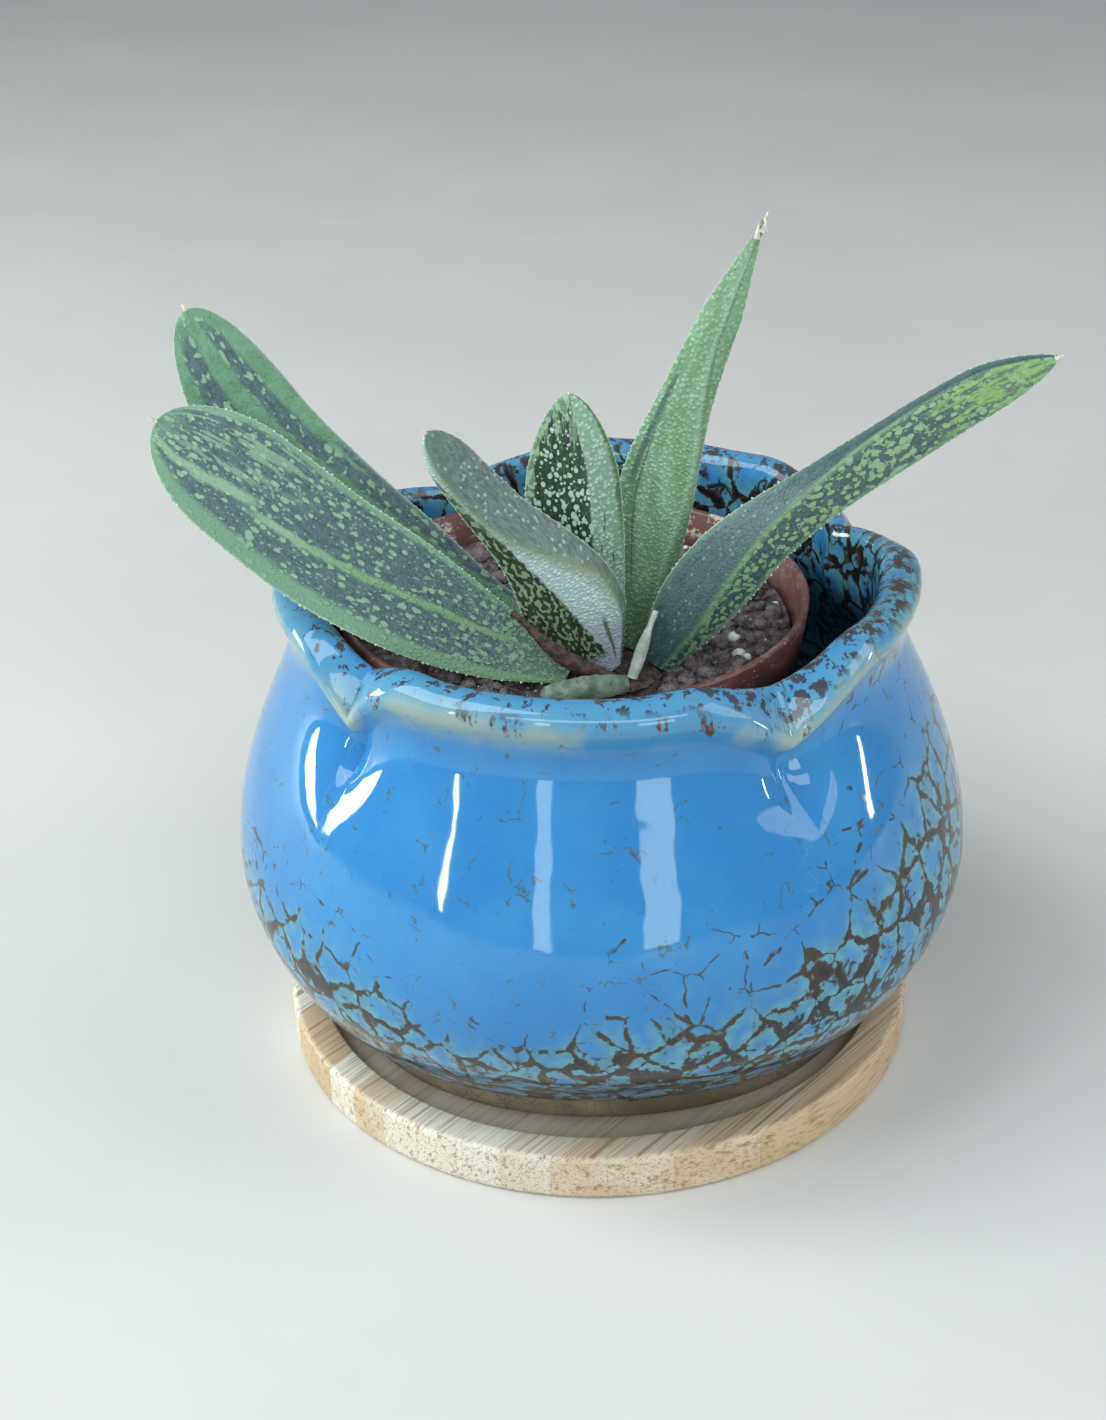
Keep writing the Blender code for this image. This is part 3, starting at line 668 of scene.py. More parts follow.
@dataclass(frozen=True)
class LeafFinish:
    """Waxy leaf skin. Its patterns follow the leaf through two attributes of the mesh.

    "leaf_place" is the place on the leaf laid flat: across and along in millimetres, and 1
    on the shown face or -1 on the other. "leaf_share" is the share across, from -1 to 1, the
    share along, from 0 to 1, and how far across the ridge is passed.
    """

    look: LeafLook
    ground: Colour = paint(60, 84, 88)
    ground_light: Colour = paint(88, 116, 118)
    spot: Colour = paint(148, 184, 152)
    band: Colour = paint(124, 166, 118)
    margin: Colour = paint(120, 162, 128)
    edge: Colour = paint(180, 200, 180)

    def build(self) -> bpy.types.Material:
        """Make the material."""
        graph = Graph("leaf_" + self.look.value)
        across, length, facing = graph.attribute("leaf_place")
        width, share, past_ridge = graph.attribute("leaf_share")
        flat = graph.join(across, length, facing * 7.0)
        rub = graph.noise(graph.join(across * 1.8, length * 0.45, facing), 1.0, 4.0, 0.7)
        grain = graph.noise(graph.join(across * 3.0, length * 2.2, facing), 1.0, 2.0, 0.6)
        base = graph.mix((rub * 0.7 + grain * 0.3).rise(0.36, 0.64), self.ground, self.ground_light)
        painters: dict[LeafLook, Callable] = {
            LeafLook.STRIPED: self.striped,
            LeafLook.BANDED: self.banded,
            LeafLook.RECURVED: self.recurved,
            LeafLook.SPECKLED: self.speckled,
            LeafLook.PEBBLED: self.pebbled,
            LeafLook.BLOTCHED: self.blotched,
            LeafLook.WITHERED: self.withered,
        }
        base, marks, gloss = painters[self.look](graph, base, Skin(flat, width, share, past_ridge))
        rim = abs(width).rise(0.965, 0.998)
        base = graph.mix(rim * 0.75, base, self.edge)
        relief = graph.bump(grain, 0.16)
        relief = graph.bump(marks, 0.11, relief)
        return graph.finish(base, gloss + rub * 0.16, relief)

    @staticmethod
    def flecks(graph: Graph, flat: Signal, size: float, cutoff: Number, stretch: float = 0.8) -> Signal:
        """Scatter ragged flecks.

        Args:
            graph: The finish's nodes.
            flat: The place on the leaf laid flat.
            size: Their rough size in millimetres.
            cutoff: How much of the noise stays dark, so that a higher value leaves fewer.
            stretch: How much the pattern is squeezed along the leaf, so that flecks lengthen.

        Returns:
            1 in a fleck and 0 outside.
        """
        speckle = graph.noise(graph.scaled(flat, (1.0, stretch, 1.0)), 0.72 / size, 1.6, 0.45)
        return (speckle - cutoff).rise(0.0, 0.035)

    @staticmethod
    def dots(graph: Graph, flat: Signal, pitch: float, radius: Number, stretch: float = 0.75) -> Signal:
        """Scatter separate rounded dots.

        Args:
            graph: The finish's nodes.
            flat: The place on the leaf laid flat.
            pitch: How far apart they are in millimetres.
            radius: The largest dot's radius as a share of the pitch.
            stretch: How much the pattern is squeezed along the leaf, so that dots lengthen.

        Returns:
            1 in a dot and 0 outside.
        """
        loose = graph.warped(graph.scaled(flat, (1.0, stretch, 1.0)), 1.3 / pitch, pitch * 0.16)
        return (radius - graph.cells(loose, 1.0 / pitch)).rise(0.0, 0.07)

    @staticmethod
    def pebble(graph: Graph, flat: Signal, pitch: float) -> Signal:
        """Cover the skin with rounded pebbles, 1 on a top and 0 between them."""
        loose = graph.warped(flat, 0.9, pitch * 0.25)
        return graph.cells(loose, 1.0 / pitch).fall(0.08, 0.62)

    def striped(self, graph: Graph, base: Signal, skin: Skin) -> Painted:
        """Paint the broad front leaf: flecks, a middle stripe and thin stripes at its tip.

        Args:
            graph: The finish's nodes.
            base: The colour under the markings.
            skin: Where a point lies on the leaf.

        Returns:
            The painted skin.
        """
        flat, width, share = skin.flat, skin.width, skin.share
        zone = graph.noise(flat, 0.14, 2.0).rise(0.3, 0.7) * 0.12
        large = self.dots(graph, flat, 0.95, zone + 0.30, 0.55)
        small = self.dots(graph, graph.scaled(flat, (1.0, 1.0, 1.3)), 0.60, zone + 0.27, 0.7)
        root_marks = self.flecks(graph, flat, 0.40, 0.55) * share.fall(0.14, 0.40)
        marks = large.most(small * 0.75).most(root_marks * 0.6)
        base = graph.mix(marks * 0.8, base, self.spot)
        wobble = (graph.noise(graph.scaled(flat, (0.7, 0.45, 1.0)), 1.0, 3.0) - 0.5) * 0.14
        middle = (width + wobble - 0.335 + share * 0.79).band(0.0, 0.065, 0.035)
        middle = middle * share.band(0.44, 0.30, 0.05)
        upper = (width + wobble - 1.09 + share * 1.6).band(0.0, 0.09, 0.05) * share.rise(0.73, 0.77)
        lines = graph.noise(graph.join(width * 8.0, share * 7.0, 0.0), 1.0, 3.0, 0.6)
        near_tip = (share + width * 0.12 + (lines - 0.5) * 0.4).rise(0.70, 0.90)
        tip_lines = lines.rise(0.51, 0.56) * near_tip * width.rise(-0.3, 0.1)
        stripe = middle.most(upper * 0.9).most(tip_lines * 0.65)
        base = graph.mix(stripe * 0.85, base, graph.mix(share.rise(0.5, 0.75), self.band, self.spot))
        low_edge = (width * -1.0 + wobble * 1.2).rise(0.62, 0.78)
        high_edge = (width + wobble * 0.6).rise(0.86, 0.94)
        root = share.fall(0.05, 0.24) * 0.5
        base = graph.mix(low_edge.most(high_edge).most(root) * 0.80, base, self.margin)
        base = graph.mix(low_edge * share.fall(0.15, 0.40) * 0.6, base, self.band)
        base = graph.mix(share.rise(0.93, 1.0) * 0.45, base, self.margin)
        return Painted(base, marks * 0.8 + stripe * 0.5, 0.34)

    def banded(self, graph: Graph, base: Signal, skin: Skin) -> Painted:
        """Paint the leaf behind it: green, with two dark flecked strips and a dark right edge.

        Args:
            graph: The finish's nodes.
            base: The colour under the markings.
            skin: Where a point lies on the leaf.

        Returns:
            The painted skin.
        """
        flat, width, share = skin.flat, skin.width, skin.share
        wobble = (graph.noise(graph.scaled(flat, (0.5, 0.35, 1.0)), 1.0, 4.0, 0.6) - 0.5) * 0.30
        lean = share * -0.9
        right = width.band(1.18 + lean + wobble, 0.17, 0.06)
        left = width.band(0.27 + lean * 0.9 + wobble, 0.22, 0.07)
        edge_strip = width.band(0.90 + wobble * 0.4, 0.07, 0.03) * share.fall(0.62, 0.72)
        dark = right.most(left).most(edge_strip) * share.fall(0.93, 1.0)
        flecks = self.dots(graph, flat, 1.5, 0.33, 0.6).most(self.flecks(graph, flat, 0.5, 0.60, 0.6))
        dark = dark * (1.0 - flecks * 0.8)
        tone = graph.noise(flat, 0.5, 3.0).rise(0.35, 0.7)
        green = graph.mix(tone, paint(96, 140, 104), paint(112, 154, 128))
        base = graph.mix(1.0 - dark, base, green)
        base = graph.mix(flecks * right.most(left) * 0.7, base, self.spot)
        base = graph.mix(width.rise(0.9, 0.97) * 0.5, base, paint(120, 140, 150))
        return Painted(base, flecks * 0.6, 0.34)

    def recurved(self, graph: Graph, base: Signal, skin: Skin) -> Painted:
        """Paint the recurved leaf: grey-green above its ridge, dark flecks and pale flank below.

        Args:
            graph: The finish's nodes.
            base: The colour under the markings.
            skin: Where a point lies on the leaf.

        Returns:
            The painted skin.
        """
        flat, width, share, past_ridge = skin
        above = past_ridge.rise(-0.06, 0.10)
        streaks = graph.noise(graph.scaled(flat, (2.2, 0.7, 1.0)), 1.0, 3.0, 0.6)
        flecks = self.dots(graph, flat, 0.85, 0.30, 0.8)
        upper = graph.mix(streaks.rise(0.35, 0.65), paint(80, 98, 96), paint(108, 128, 124))
        upper = graph.mix(flecks * 0.75, upper, paint(160, 182, 170))
        upper = graph.mix(share.rise(0.80, 1.0) * 0.4, upper, paint(92, 118, 104))
        pebbles = self.pebble(graph, graph.scaled(flat, (1.0, 1.3, 1.0)), 0.62)
        pale = graph.mix(pebbles, paint(172, 198, 196), paint(218, 232, 230))
        pale = graph.mix(share.fall(0.08, 0.34) * 0.6, pale, paint(176, 184, 200))
        specks = self.flecks(graph, flat, 0.34, 0.515, 0.45)
        dark = graph.mix(streaks.rise(0.35, 0.65), paint(38, 56, 36), paint(58, 78, 44))
        dark = graph.mix(specks * 0.8, dark, paint(150, 170, 146))
        wobble = (graph.noise(flat, 0.5, 3.0) - 0.5) * 0.14
        boundary = 0.37 - share * 1.50
        patch = (boundary + wobble - width).rise(-0.04, 0.05) * share.rise(0.06, 0.12)
        lower = graph.mix(patch, pale, dark)
        base = graph.mix(above, lower, upper)
        ridge = (past_ridge + wobble * 0.5).band(0.02, 0.17, 0.15) * share.rise(0.2, 0.35)
        along_ridge = graph.mix(share.rise(0.4, 0.8), paint(116, 132, 92), paint(96, 126, 98))
        base = graph.mix(ridge * 0.65, base, along_ridge)
        streak = (width - 0.46 + share * 0.2).band(0.0, 0.045, 0.03) * share.band(0.15, 0.10, 0.02)
        base = graph.mix(streak * (1.0 - above) * 0.85, base, paint(76, 98, 52))
        brown = share.fall(0.02, 0.14) * width.fall(-0.6, -0.2) * 0.5
        base = graph.mix(brown, base, paint(110, 84, 76))
        bumps = flecks * above * 0.7 + (1.0 - above) * graph.mix(patch, pebbles, specks)
        return Painted(base, bumps, 0.32)

    def speckled(self, graph: Graph, base: Signal, skin: Skin) -> Painted:
        """Paint the short upright leaf: a dark face with white flecks and a pale flank.

        Args:
            graph: The finish's nodes.
            base: The colour under the markings.
            skin: Where a point lies on the leaf.

        Returns:
            The painted skin.
        """
        flat, width, share, past_ridge = skin
        wobble = (graph.noise(graph.scaled(flat, (0.8, 0.4, 1.0)), 1.0, 3.0) - 0.5) * 0.12
        flank = (past_ridge + wobble).rise(-0.03, 0.03)
        rays = graph.noise(graph.scaled(flat, (1.4, 0.20, 1.0)), 1.0, 3.0, 0.6)
        dark = graph.mix(rays.rise(0.35, 0.65), paint(34, 56, 40), paint(50, 78, 58))
        large = self.dots(graph, flat, 0.95, 0.44 - share.rise(0.5, 0.9) * 0.14, 0.7)
        small = self.dots(graph, graph.scaled(flat, (1.0, 1.0, 1.4)), 0.60, 0.34, 0.7)
        marks = large.most(small * 0.9)
        face = graph.mix(marks * 0.95, dark, paint(182, 206, 188))
        pale_top = (share + (rays - 0.5) * 0.7).rise(0.87, 0.92)
        pale_left = (width * -1.0 + (rays - 0.5) * 0.5).rise(0.78, 0.86) * share.rise(0.40, 0.62)
        dapple = self.flecks(graph, flat, 0.5, 0.50, 0.6)
        top = graph.mix(dapple, paint(104, 140, 104), paint(150, 180, 148))
        face = graph.mix(pale_top.most(pale_left) * 0.9, face, top)
        pebbles = self.pebble(graph, flat, 0.66)
        pale = graph.mix(pebbles, paint(126, 160, 140), paint(182, 208, 190))
        green = (width + wobble).rise(0.84, 0.94) * share.rise(0.30, 0.55)
        pale = graph.mix(green * 0.85, pale, paint(66, 102, 40))
        streak = rays.fall(0.36, 0.44) * share.band(0.36, 0.17, 0.05) * width.band(0.64, 0.16, 0.05)
        pale = graph.mix(streak * 0.9, pale, paint(46, 68, 36))
        base = graph.mix(flank, face, pale)
        return Painted(base, graph.mix(flank, marks, pebbles), 0.28)

    def pebbled(self, graph: Graph, base: Signal, skin: Skin) -> Painted:
        """Paint the tall leaf: pale green pebbles, a dark streak, and thin lines by its keel.

        Args:
            graph: The finish's nodes.
            base: The colour under the markings.
            skin: Where a point lies on the leaf.

        Returns:
            The painted skin.
        """
        flat, width, share, past_ridge = skin
        pebbles = self.pebble(graph, flat, 0.60)
        tone = graph.noise(graph.scaled(flat, (0.45, 0.12, 1.0)), 1.0, 3.0)
        low = graph.mix(tone.rise(0.35, 0.65), paint(102, 138, 100), paint(122, 158, 124))
        high = graph.mix(tone.rise(0.35, 0.65), paint(146, 184, 150), paint(168, 204, 176))
        base = graph.mix(pebbles * 0.75, low, high)
        base = graph.mix(share.rise(0.55, 0.95) * 0.35, base, paint(112, 146, 118))
        base = graph.mix(share.fall(0.10, 0.42) * 0.4, base, paint(84, 122, 88))
        ragged = (graph.noise(graph.scaled(flat, (1.0, 0.3, 1.0)), 1.0, 3.0) - 0.5) * 0.22
        streak = (width + ragged * 0.5).band(-0.70, 0.09, 0.04) * share.band(0.54, 0.13, 0.03)
        line = (width + share * 0.28 + ragged * 0.4).band(-0.42, 0.03, 0.02) * share.band(0.38, 0.22, 0.05)
        base = graph.mix(streak.most(line * 0.8) * 0.8, base, paint(62, 86, 84))
        keel = past_ridge.band(0.0, 0.10, 0.07)
        base = graph.mix(keel * 0.35, base, paint(156, 186, 158))
        beside = past_ridge.band(0.15, 0.07, 0.06) * share.rise(0.40, 0.6)
        base = graph.mix(beside * 0.5, base, paint(74, 106, 76))
        base = graph.mix(share.rise(0.93, 0.99) * 0.45, base, paint(84, 108, 88))
        return Painted(base, pebbles, 0.34)

    def blotched(self, graph: Graph, base: Signal, skin: Skin) -> Painted:
        """Paint the long leaf: plain and dark over its ridge, blotched under it.

        Args:
            graph: The finish's nodes.
            base: The colour under the markings.
            skin: Where a point lies on the leaf.

        Returns:
            The painted skin.
        """
        flat, width, share, past_ridge = skin
        under = past_ridge.rise(-0.04, 0.10)
        base = graph.mix(0.35, base, paint(44, 68, 60))
        zone = graph.noise(flat, 0.2, 2.0).rise(0.3, 0.7) * 0.12
        blots = self.dots(graph, flat, 0.82, zone + 0.38, 0.6)
        fine = self.flecks(graph, flat, 0.40, 0.60 - zone * 0.5)
        marks = blots.most(fine * 0.8)
        base = graph.mix(marks * under * 0.8, base, paint(144, 180, 134))
        faint = self.dots(graph, flat, 0.9, 0.24) * share.fall(0.35, 0.65)
        base = graph.mix(faint * (1.0 - under) * 0.6, base, paint(122, 152, 138))
        lines = graph.noise(graph.scaled(flat, (1.8, 0.18, 1.0)), 1.0, 3.0, 0.6)
        tip_lines = (lines + share * 0.26).rise(0.70, 0.77) * share.rise(0.70, 0.82) * under
        base = graph.mix(tip_lines * 0.9, base, paint(132, 172, 96))
        base = graph.mix(share.rise(0.72, 0.95) * under * 0.3, base, paint(124, 160, 112))
        keel = (past_ridge + (lines - 0.5) * 0.2).band(0.03, 0.09, 0.07) * share.fall(0.66, 0.8)
        base = graph.mix(keel * 0.6, base, paint(116, 156, 110))
        top_edge = width.fall(-0.99, -0.78)
        base = graph.mix(top_edge * 0.45, base, paint(104, 134, 122))
        low_edge = (width + (lines - 0.5) * 0.3).rise(0.84, 0.95)
        base = graph.mix(low_edge * 0.6, base, self.margin)
        return Painted(base, marks * under * 0.7 + tip_lines * 0.4, 0.22)

    def withered(self, graph: Graph, base: Signal, skin: Skin) -> Painted:
        """Paint the stub of the old leaf: dull grey-green with brown flecks.

        Args:
            graph: The finish's nodes.
            base: The colour under the markings.
            skin: Where a point lies on the leaf.

        Returns:
            The painted skin.
        """
        flat = skin.flat
        drift = graph.noise(flat, 0.6, 4.0, 0.6)
        base = graph.mix(drift.rise(0.35, 0.65), paint(84, 106, 90), paint(126, 140, 126))
        fleck = graph.noise(flat, 1.3, 3.0, 0.6).rise(0.60, 0.68)
        base = graph.mix(fleck * 0.7, base, paint(84, 76, 60))
        return Painted(base, drift * 2.0, 0.45)


def new_piece(
    name: str,
    shape: bmesh.types.BMesh,
    material: bpy.types.Material,
    stands_for: Sequence[str] = (),
    sharp: float = 40.0,
) -> None:
    """Turn a finished shape into a piece of the object that rides on the root body.

    Args:
        name: The piece's name.
        shape: The mesh in millimetres, which is freed.
        material: Its finish.
        stands_for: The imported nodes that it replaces.
        sharp: Edges steeper than this many degrees stay sharp.
    """
    bmesh.ops.scale(shape, vec=(MM, MM, MM), verts=shape.verts[:])
    mesh = bpy.data.meshes.new(name)
    shape.to_mesh(mesh)
    shape.free()
    mesh.materials.append(material)
    mesh.shade_smooth()
    mesh.set_sharp_from_angle(angle=math.radians(sharp))
    piece = bpy.data.objects.new(name, mesh)
    bpy.context.scene.collection.objects.link(piece)
    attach(piece, ROOT)
    if stands_for:
        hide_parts(*stands_for)
    LOG.info("%s: %d faces", name, len(mesh.polygons))


def smooth_copy(node: str) -> bmesh.types.BMesh:
    """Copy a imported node's triangles, merged, in millimetres."""
    shape = bmesh.new()
    shape.from_mesh(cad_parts[node].data)
    bmesh.ops.remove_doubles(shape, verts=shape.verts[:], dist=0.005 * MM)
    bmesh.ops.scale(shape, vec=(1.0 / MM, 1.0 / MM, 1.0 / MM), verts=shape.verts[:])
    return shape


def merge(part: bmesh.types.BMesh, whole: bmesh.types.BMesh) -> None:
    """Move a small shape's faces into a larger shape."""
    corners = {vertex: whole.verts.new(vertex.co) for vertex in part.verts}
    for face in part.faces:
        whole.faces.new([corners[vertex] for vertex in face.verts])
    part.free()


def arc(centre: Pair, radius: float, start: float, end: float, steps: int) -> list[Pair]:
    """Give points of an arc in the profile plane.

    Args:
        centre: The arc's centre.
        radius: Its radius.
        start: The angle where it starts, in degrees.
        end: The angle where it ends, in degrees.
        steps: How many steps it takes.

    Returns:
        The points, both ends included.
    """
    points = []
    for step in range(steps + 1):
        angle = math.radians(start + (end - start) * step / steps)
        points.append((centre[0] + radius * math.cos(angle), centre[1] + radius * math.sin(angle)))
    return points


def bezier(
    start: Pair, handle_out: Pair, handle_in: Pair, end: Pair, steps: int
) -> list[Pair]:
    """Give points of a Bezier curve in the profile plane, without its first point."""
    corners = [Vector((*point, 0.0)) for point in (start, handle_out, handle_in, end)]
    curve = geometry.interpolate_bezier(*corners, steps + 1)
    return [(point.x, point.y) for point in curve[1:]]


def turned(
    profile: Sequence[Pair],
    centre: Pair,
    sides: int,
    place_layer: Optional[str] = None,
    places: Sequence[Sequence[float]] = (),
) -> bmesh.types.BMesh:
    """Spin a profile of (radius, height) points about the vertical through centre.

    Args:
        profile: The outline, closed on itself unless it starts on the axis.
        centre: The axis's place.
        sides: The number of steps in a full turn.
        place_layer: The name of a vector attribute that the points carry round.
        places: That attribute's value for each point.

    Returns:
        The closed shape, facing outwards.
    """
    shape = bmesh.new()
    layer = shape.verts.layers.float_vector.new(place_layer) if place_layer else None
    corners = [shape.verts.new((radius, 0.0, height)) for radius, height in profile]
    if layer is not None:
        for corner, value in zip(corners, places):
            corner[layer] = Vector(value)
    edges = [shape.edges.new(pair) for pair in zip(corners, corners[1:])]
    if profile[0][0] > 0.0:
        edges.append(shape.edges.new((corners[-1], corners[0])))
    bmesh.ops.spin(
        shape, geom=corners + edges, cent=(0.0, 0.0, 0.0), axis=(0.0, 0.0, 1.0),
        angle=math.tau, steps=sides, use_merge=True, use_duplicate=False,
    )
    bmesh.ops.remove_doubles(shape, verts=shape.verts[:], dist=0.0005)
    bmesh.ops.recalc_face_normals(shape, faces=shape.faces[:])
    bmesh.ops.translate(shape, vec=(centre[0], centre[1], 0.0), verts=shape.verts[:])
    return shape


@dataclass
class BambooSaucer:
    """The flat bamboo disc with its shallow recess."""

    radius: float = 48.0
    height: float = 7.2
    rounding: float = 0.9
    recess_radius: float = 43.0
    recess_floor: float = 4.0
    fillet: float = 0.8
    lip_rounding: float = 0.5
    sides: int = 200

    def build(self) -> None:
        """Make the saucer."""
        fillet_centre = (self.recess_radius - self.fillet, self.recess_floor + self.fillet)
        mouth_centre = (self.recess_radius + self.lip_rounding, self.height - self.lip_rounding)
        rim = self.radius - self.rounding
        profile = [(0.0, self.recess_floor), (self.recess_radius * 0.5, self.recess_floor)]
        profile += arc(fillet_centre, self.fillet, -90.0, 0.0, 5)
        profile += arc(mouth_centre, self.lip_rounding, 180.0, 90.0, 4)
        profile += arc((rim, self.height - self.rounding), self.rounding, 90.0, 0.0, 6)
        profile += arc((rim, self.rounding), self.rounding, 0.0, -90.0, 6)
        profile.append((0.0, 0.0))
        shape = turned(profile, (0.0, 0.0), self.sides)
        bamboo = BambooFinish(self.recess_radius, self.height)
        new_piece("bamboo_saucer", shape, bamboo.build(), ["saucer"])


@dataclass
class GlazedPot:
    """The round-bellied pot whose flared lip is folded in four pleats."""

    centre: Pair = (0.8, 2.0)
    bottom: float = 4.3
    foot_radius: float = 40.4
    foot_ring: float = 4.0
    foot_hollow: float = 1.4
    foot_narrowing: float = 2.6
    undercut: float = 3.5
    undercut_top: float = 25.0
    clay_band: float = 3.4
    belly_radius: float = 54.7
    belly_height: float = 32.5
    neck_radius: float = 44.2
    neck_height: float = 67.0
    lip_radius: float = 46.2
    lip_height: float = 76.2
    mouth_radius: float = 40.4
    wall: float = 4.2
    floor: float = 9.2
    drain_radius: float = 5.0
    pleats: tuple[Pair, ...] = ((-140.0, 7.0), (-57.0, 10.0), (23.0, 14.0), (122.0, 17.0))
    crease_spread: float = 4.5
    drop_outer: float = 8.0
    drop_inner: float = 2.6
    reach_down: float = 15.0
    pinch: float = 1.6
    shoulder: float = 0.9
    shoulder_place: float = 1.8
    shoulder_spread: float = 7.0
    crease_depth: float = 0.7
    sides: int = 288

    def profile(self) -> list[Pair]:
        """Draw the wall: down the outside, under the foot, through the drain and up inside."""
        foot_inner = self.foot_radius - self.foot_ring
        hollow = self.bottom + self.foot_hollow
        clay_top = (self.foot_radius + 0.8, self.bottom + self.clay_band)
        belly = (self.belly_radius, self.belly_height)
        neck = (self.neck_radius, self.neck_height)
        lip = (self.lip_radius, self.lip_height - 2.4)
        points = [lip]
        under_lip = (self.lip_radius - 0.1, self.lip_height - 4.4)
        points += bezier(lip, under_lip, (self.neck_radius, self.neck_height + 3.5), neck, 14)
        above_belly = (self.belly_radius, self.belly_height + 15.0)
        points += bezier(neck, (self.neck_radius, self.neck_height - 5.5), above_belly, belly, 22)
        above_foot = (self.foot_radius + 7.4, self.bottom + 7.5)
        points += bezier(belly, (self.belly_radius, self.belly_height - 9.0), above_foot, clay_top, 18)
        points += [(self.foot_radius + 0.3, self.bottom + 1.2), (self.foot_radius, self.bottom + 0.4)]
        points += [(self.foot_radius - 0.5, self.bottom), (foot_inner, self.bottom)]
        points += [(foot_inner - 0.8, hollow), (self.drain_radius, hollow)]
        points += [(self.drain_radius, self.floor), (self.belly_radius * 0.62, self.floor)]
        inner_belly = (self.belly_radius - self.wall, self.belly_height)
        inner_neck = (self.neck_radius - self.wall, self.neck_height)
        low_inside = (inner_belly[0], self.belly_height - 12.5)
        points += bezier(points[-1], (self.belly_radius * 0.85, self.floor), low_inside, inner_belly, 9)
        high_inside = (inner_belly[0], self.belly_height + 15.5)
        points += bezier(inner_belly, high_inside, (inner_neck[0], self.neck_height - 9.0), inner_neck, 12)
        mouth = (self.mouth_radius - 0.3, self.lip_height - 3.6)
        under_mouth = (mouth[0], mouth[1] - 1.5)
        points += bezier(inner_neck, (inner_neck[0], self.neck_height + 2.0), under_mouth, mouth, 5)
        crest = (self.lip_radius - 2.9, self.lip_height)
        inner_handle = (self.mouth_radius - 0.2, self.lip_height - 1.2)
        points += bezier(mouth, inner_handle, (crest[0] - 1.7, crest[1]), crest, 8)
        outer_handle = (self.lip_radius - 1.3, self.lip_height)
        points += bezier(crest, outer_handle, (self.lip_radius, lip[1] + 1.3), lip, 8)[:-1]
        return points

    def valley(self, angle: float) -> float:
        """Give how far into the nearest pleat's valley a direction lies, from 0 to 1."""
        return max(math.exp(-((angle_between(angle, at) / spread) ** 1.2)) for at, spread in self.pleats)

    def crease(self, angle: float) -> float:
        """Give how close a direction is to a pleat's sharp crease, from 0 to 1."""
        nearest = min(angle_between(angle, at) for at, _ in self.pleats)
        return math.exp(-((nearest / self.crease_spread) ** 1.2))

    def corner(self, angle: float) -> float:
        """Give how much a direction lies on a raised corner beside a pleat, from 0 to 1."""
        strength = 0.0
        for at, spread in self.pleats:
            away = angle_between(angle, at) - self.shoulder_place * spread
            strength = max(strength, math.exp(-((away / self.shoulder_spread) ** 2)))
        return strength

    def narrowing(self, radius: float, height: float, angle: float) -> float:
        """Give how far the lower wall stands in at the front and back."""
        deeper = self.undercut - self.foot_narrowing
        low = self.foot_narrowing + deeper * fade(height, self.bottom, self.floor)
        low *= 1.0 - fade(height, self.undercut_top / 2.0, self.undercut_top)
        outer = fade(radius, self.foot_radius * 0.4, self.foot_radius * 0.85)
        return low * outer * math.sin(math.radians(angle)) ** 4

    def pleated(self, point: Vector) -> Vector:
        """Move a point of the round pot to its place on the lobed and pleated one."""
        offset = Vector((point.x - self.centre[0], point.y - self.centre[1]))
        radius = offset.length
        if radius == 0.0:
            return point
        angle = math.degrees(math.atan2(offset.y, offset.x))
        crease = self.crease(angle)
        lip = fade(point.z, self.neck_height - self.reach_down, self.lip_height - 1.5)
        overhang = fade(radius, self.mouth_radius, self.lip_radius)
        drop = self.drop_inner + (self.drop_outer - self.drop_inner) * overhang
        rise = self.shoulder * self.corner(angle)
        pinch = self.pinch * crease * fade(point.z, self.belly_height + 18.0, self.neck_height)
        pinch *= 1.0 - 0.7 * fade(point.z, self.neck_height, self.lip_height)
        fold = self.crease_depth * crease * fade(point.z, self.belly_height + 14.0, self.neck_height - 4.0)
        wave = noise.noise(Vector((offset.x, offset.y, point.z)) * 0.035) * 0.35
        wave *= fade(point.z, self.bottom + 2.0, self.bottom + 12.0)
        wave *= fade(radius, self.drain_radius, self.foot_radius)
        new_radius = radius - pinch - fold + wave - self.narrowing(radius, point.z, angle)
        flat = offset.normalized() * new_radius
        height = point.z + lip * (rise - drop * self.valley(angle))
        return Vector((self.centre[0] + flat.x, self.centre[1] + flat.y, height))

    def build(self) -> None:
        """Make the pot."""
        profile = self.profile()
        walked = 0.0
        places = []
        count = len(profile)
        lengths = [math.dist(profile[i], profile[(i + 1) % count]) for i in range(count)]
        whole = sum(lengths)
        for index, (_, height) in enumerate(profile):
            reach = walked if walked < whole / 2.0 else walked - whole
            places.append((height, reach, 0.0))
            walked += lengths[index]
        shape = turned(profile, self.centre, self.sides, "glaze_place", places)
        layer = shape.verts.layers.float_vector["glaze_place"]
        for vertex in shape.verts:
            angle = math.degrees(math.atan2(vertex.co.y - self.centre[1], vertex.co.x - self.centre[0]))
            vertex[layer].z = self.crease(angle)
            vertex.co = self.pleated(vertex.co)
        finish = GlazeFinish(self.centre, self.bottom + self.clay_band)
        new_piece("glazed_pot_body", shape, finish.build(), ["glazed_pot"])


@dataclass
class NurseryPot:
    """The thin plastic pot."""

    def build(self) -> None:
        """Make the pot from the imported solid, smoothed."""
        shape = smooth_copy("plastic_pot")
        new_piece("nursery_pot", shape, PlasticFinish().build(), ["plastic_pot"])


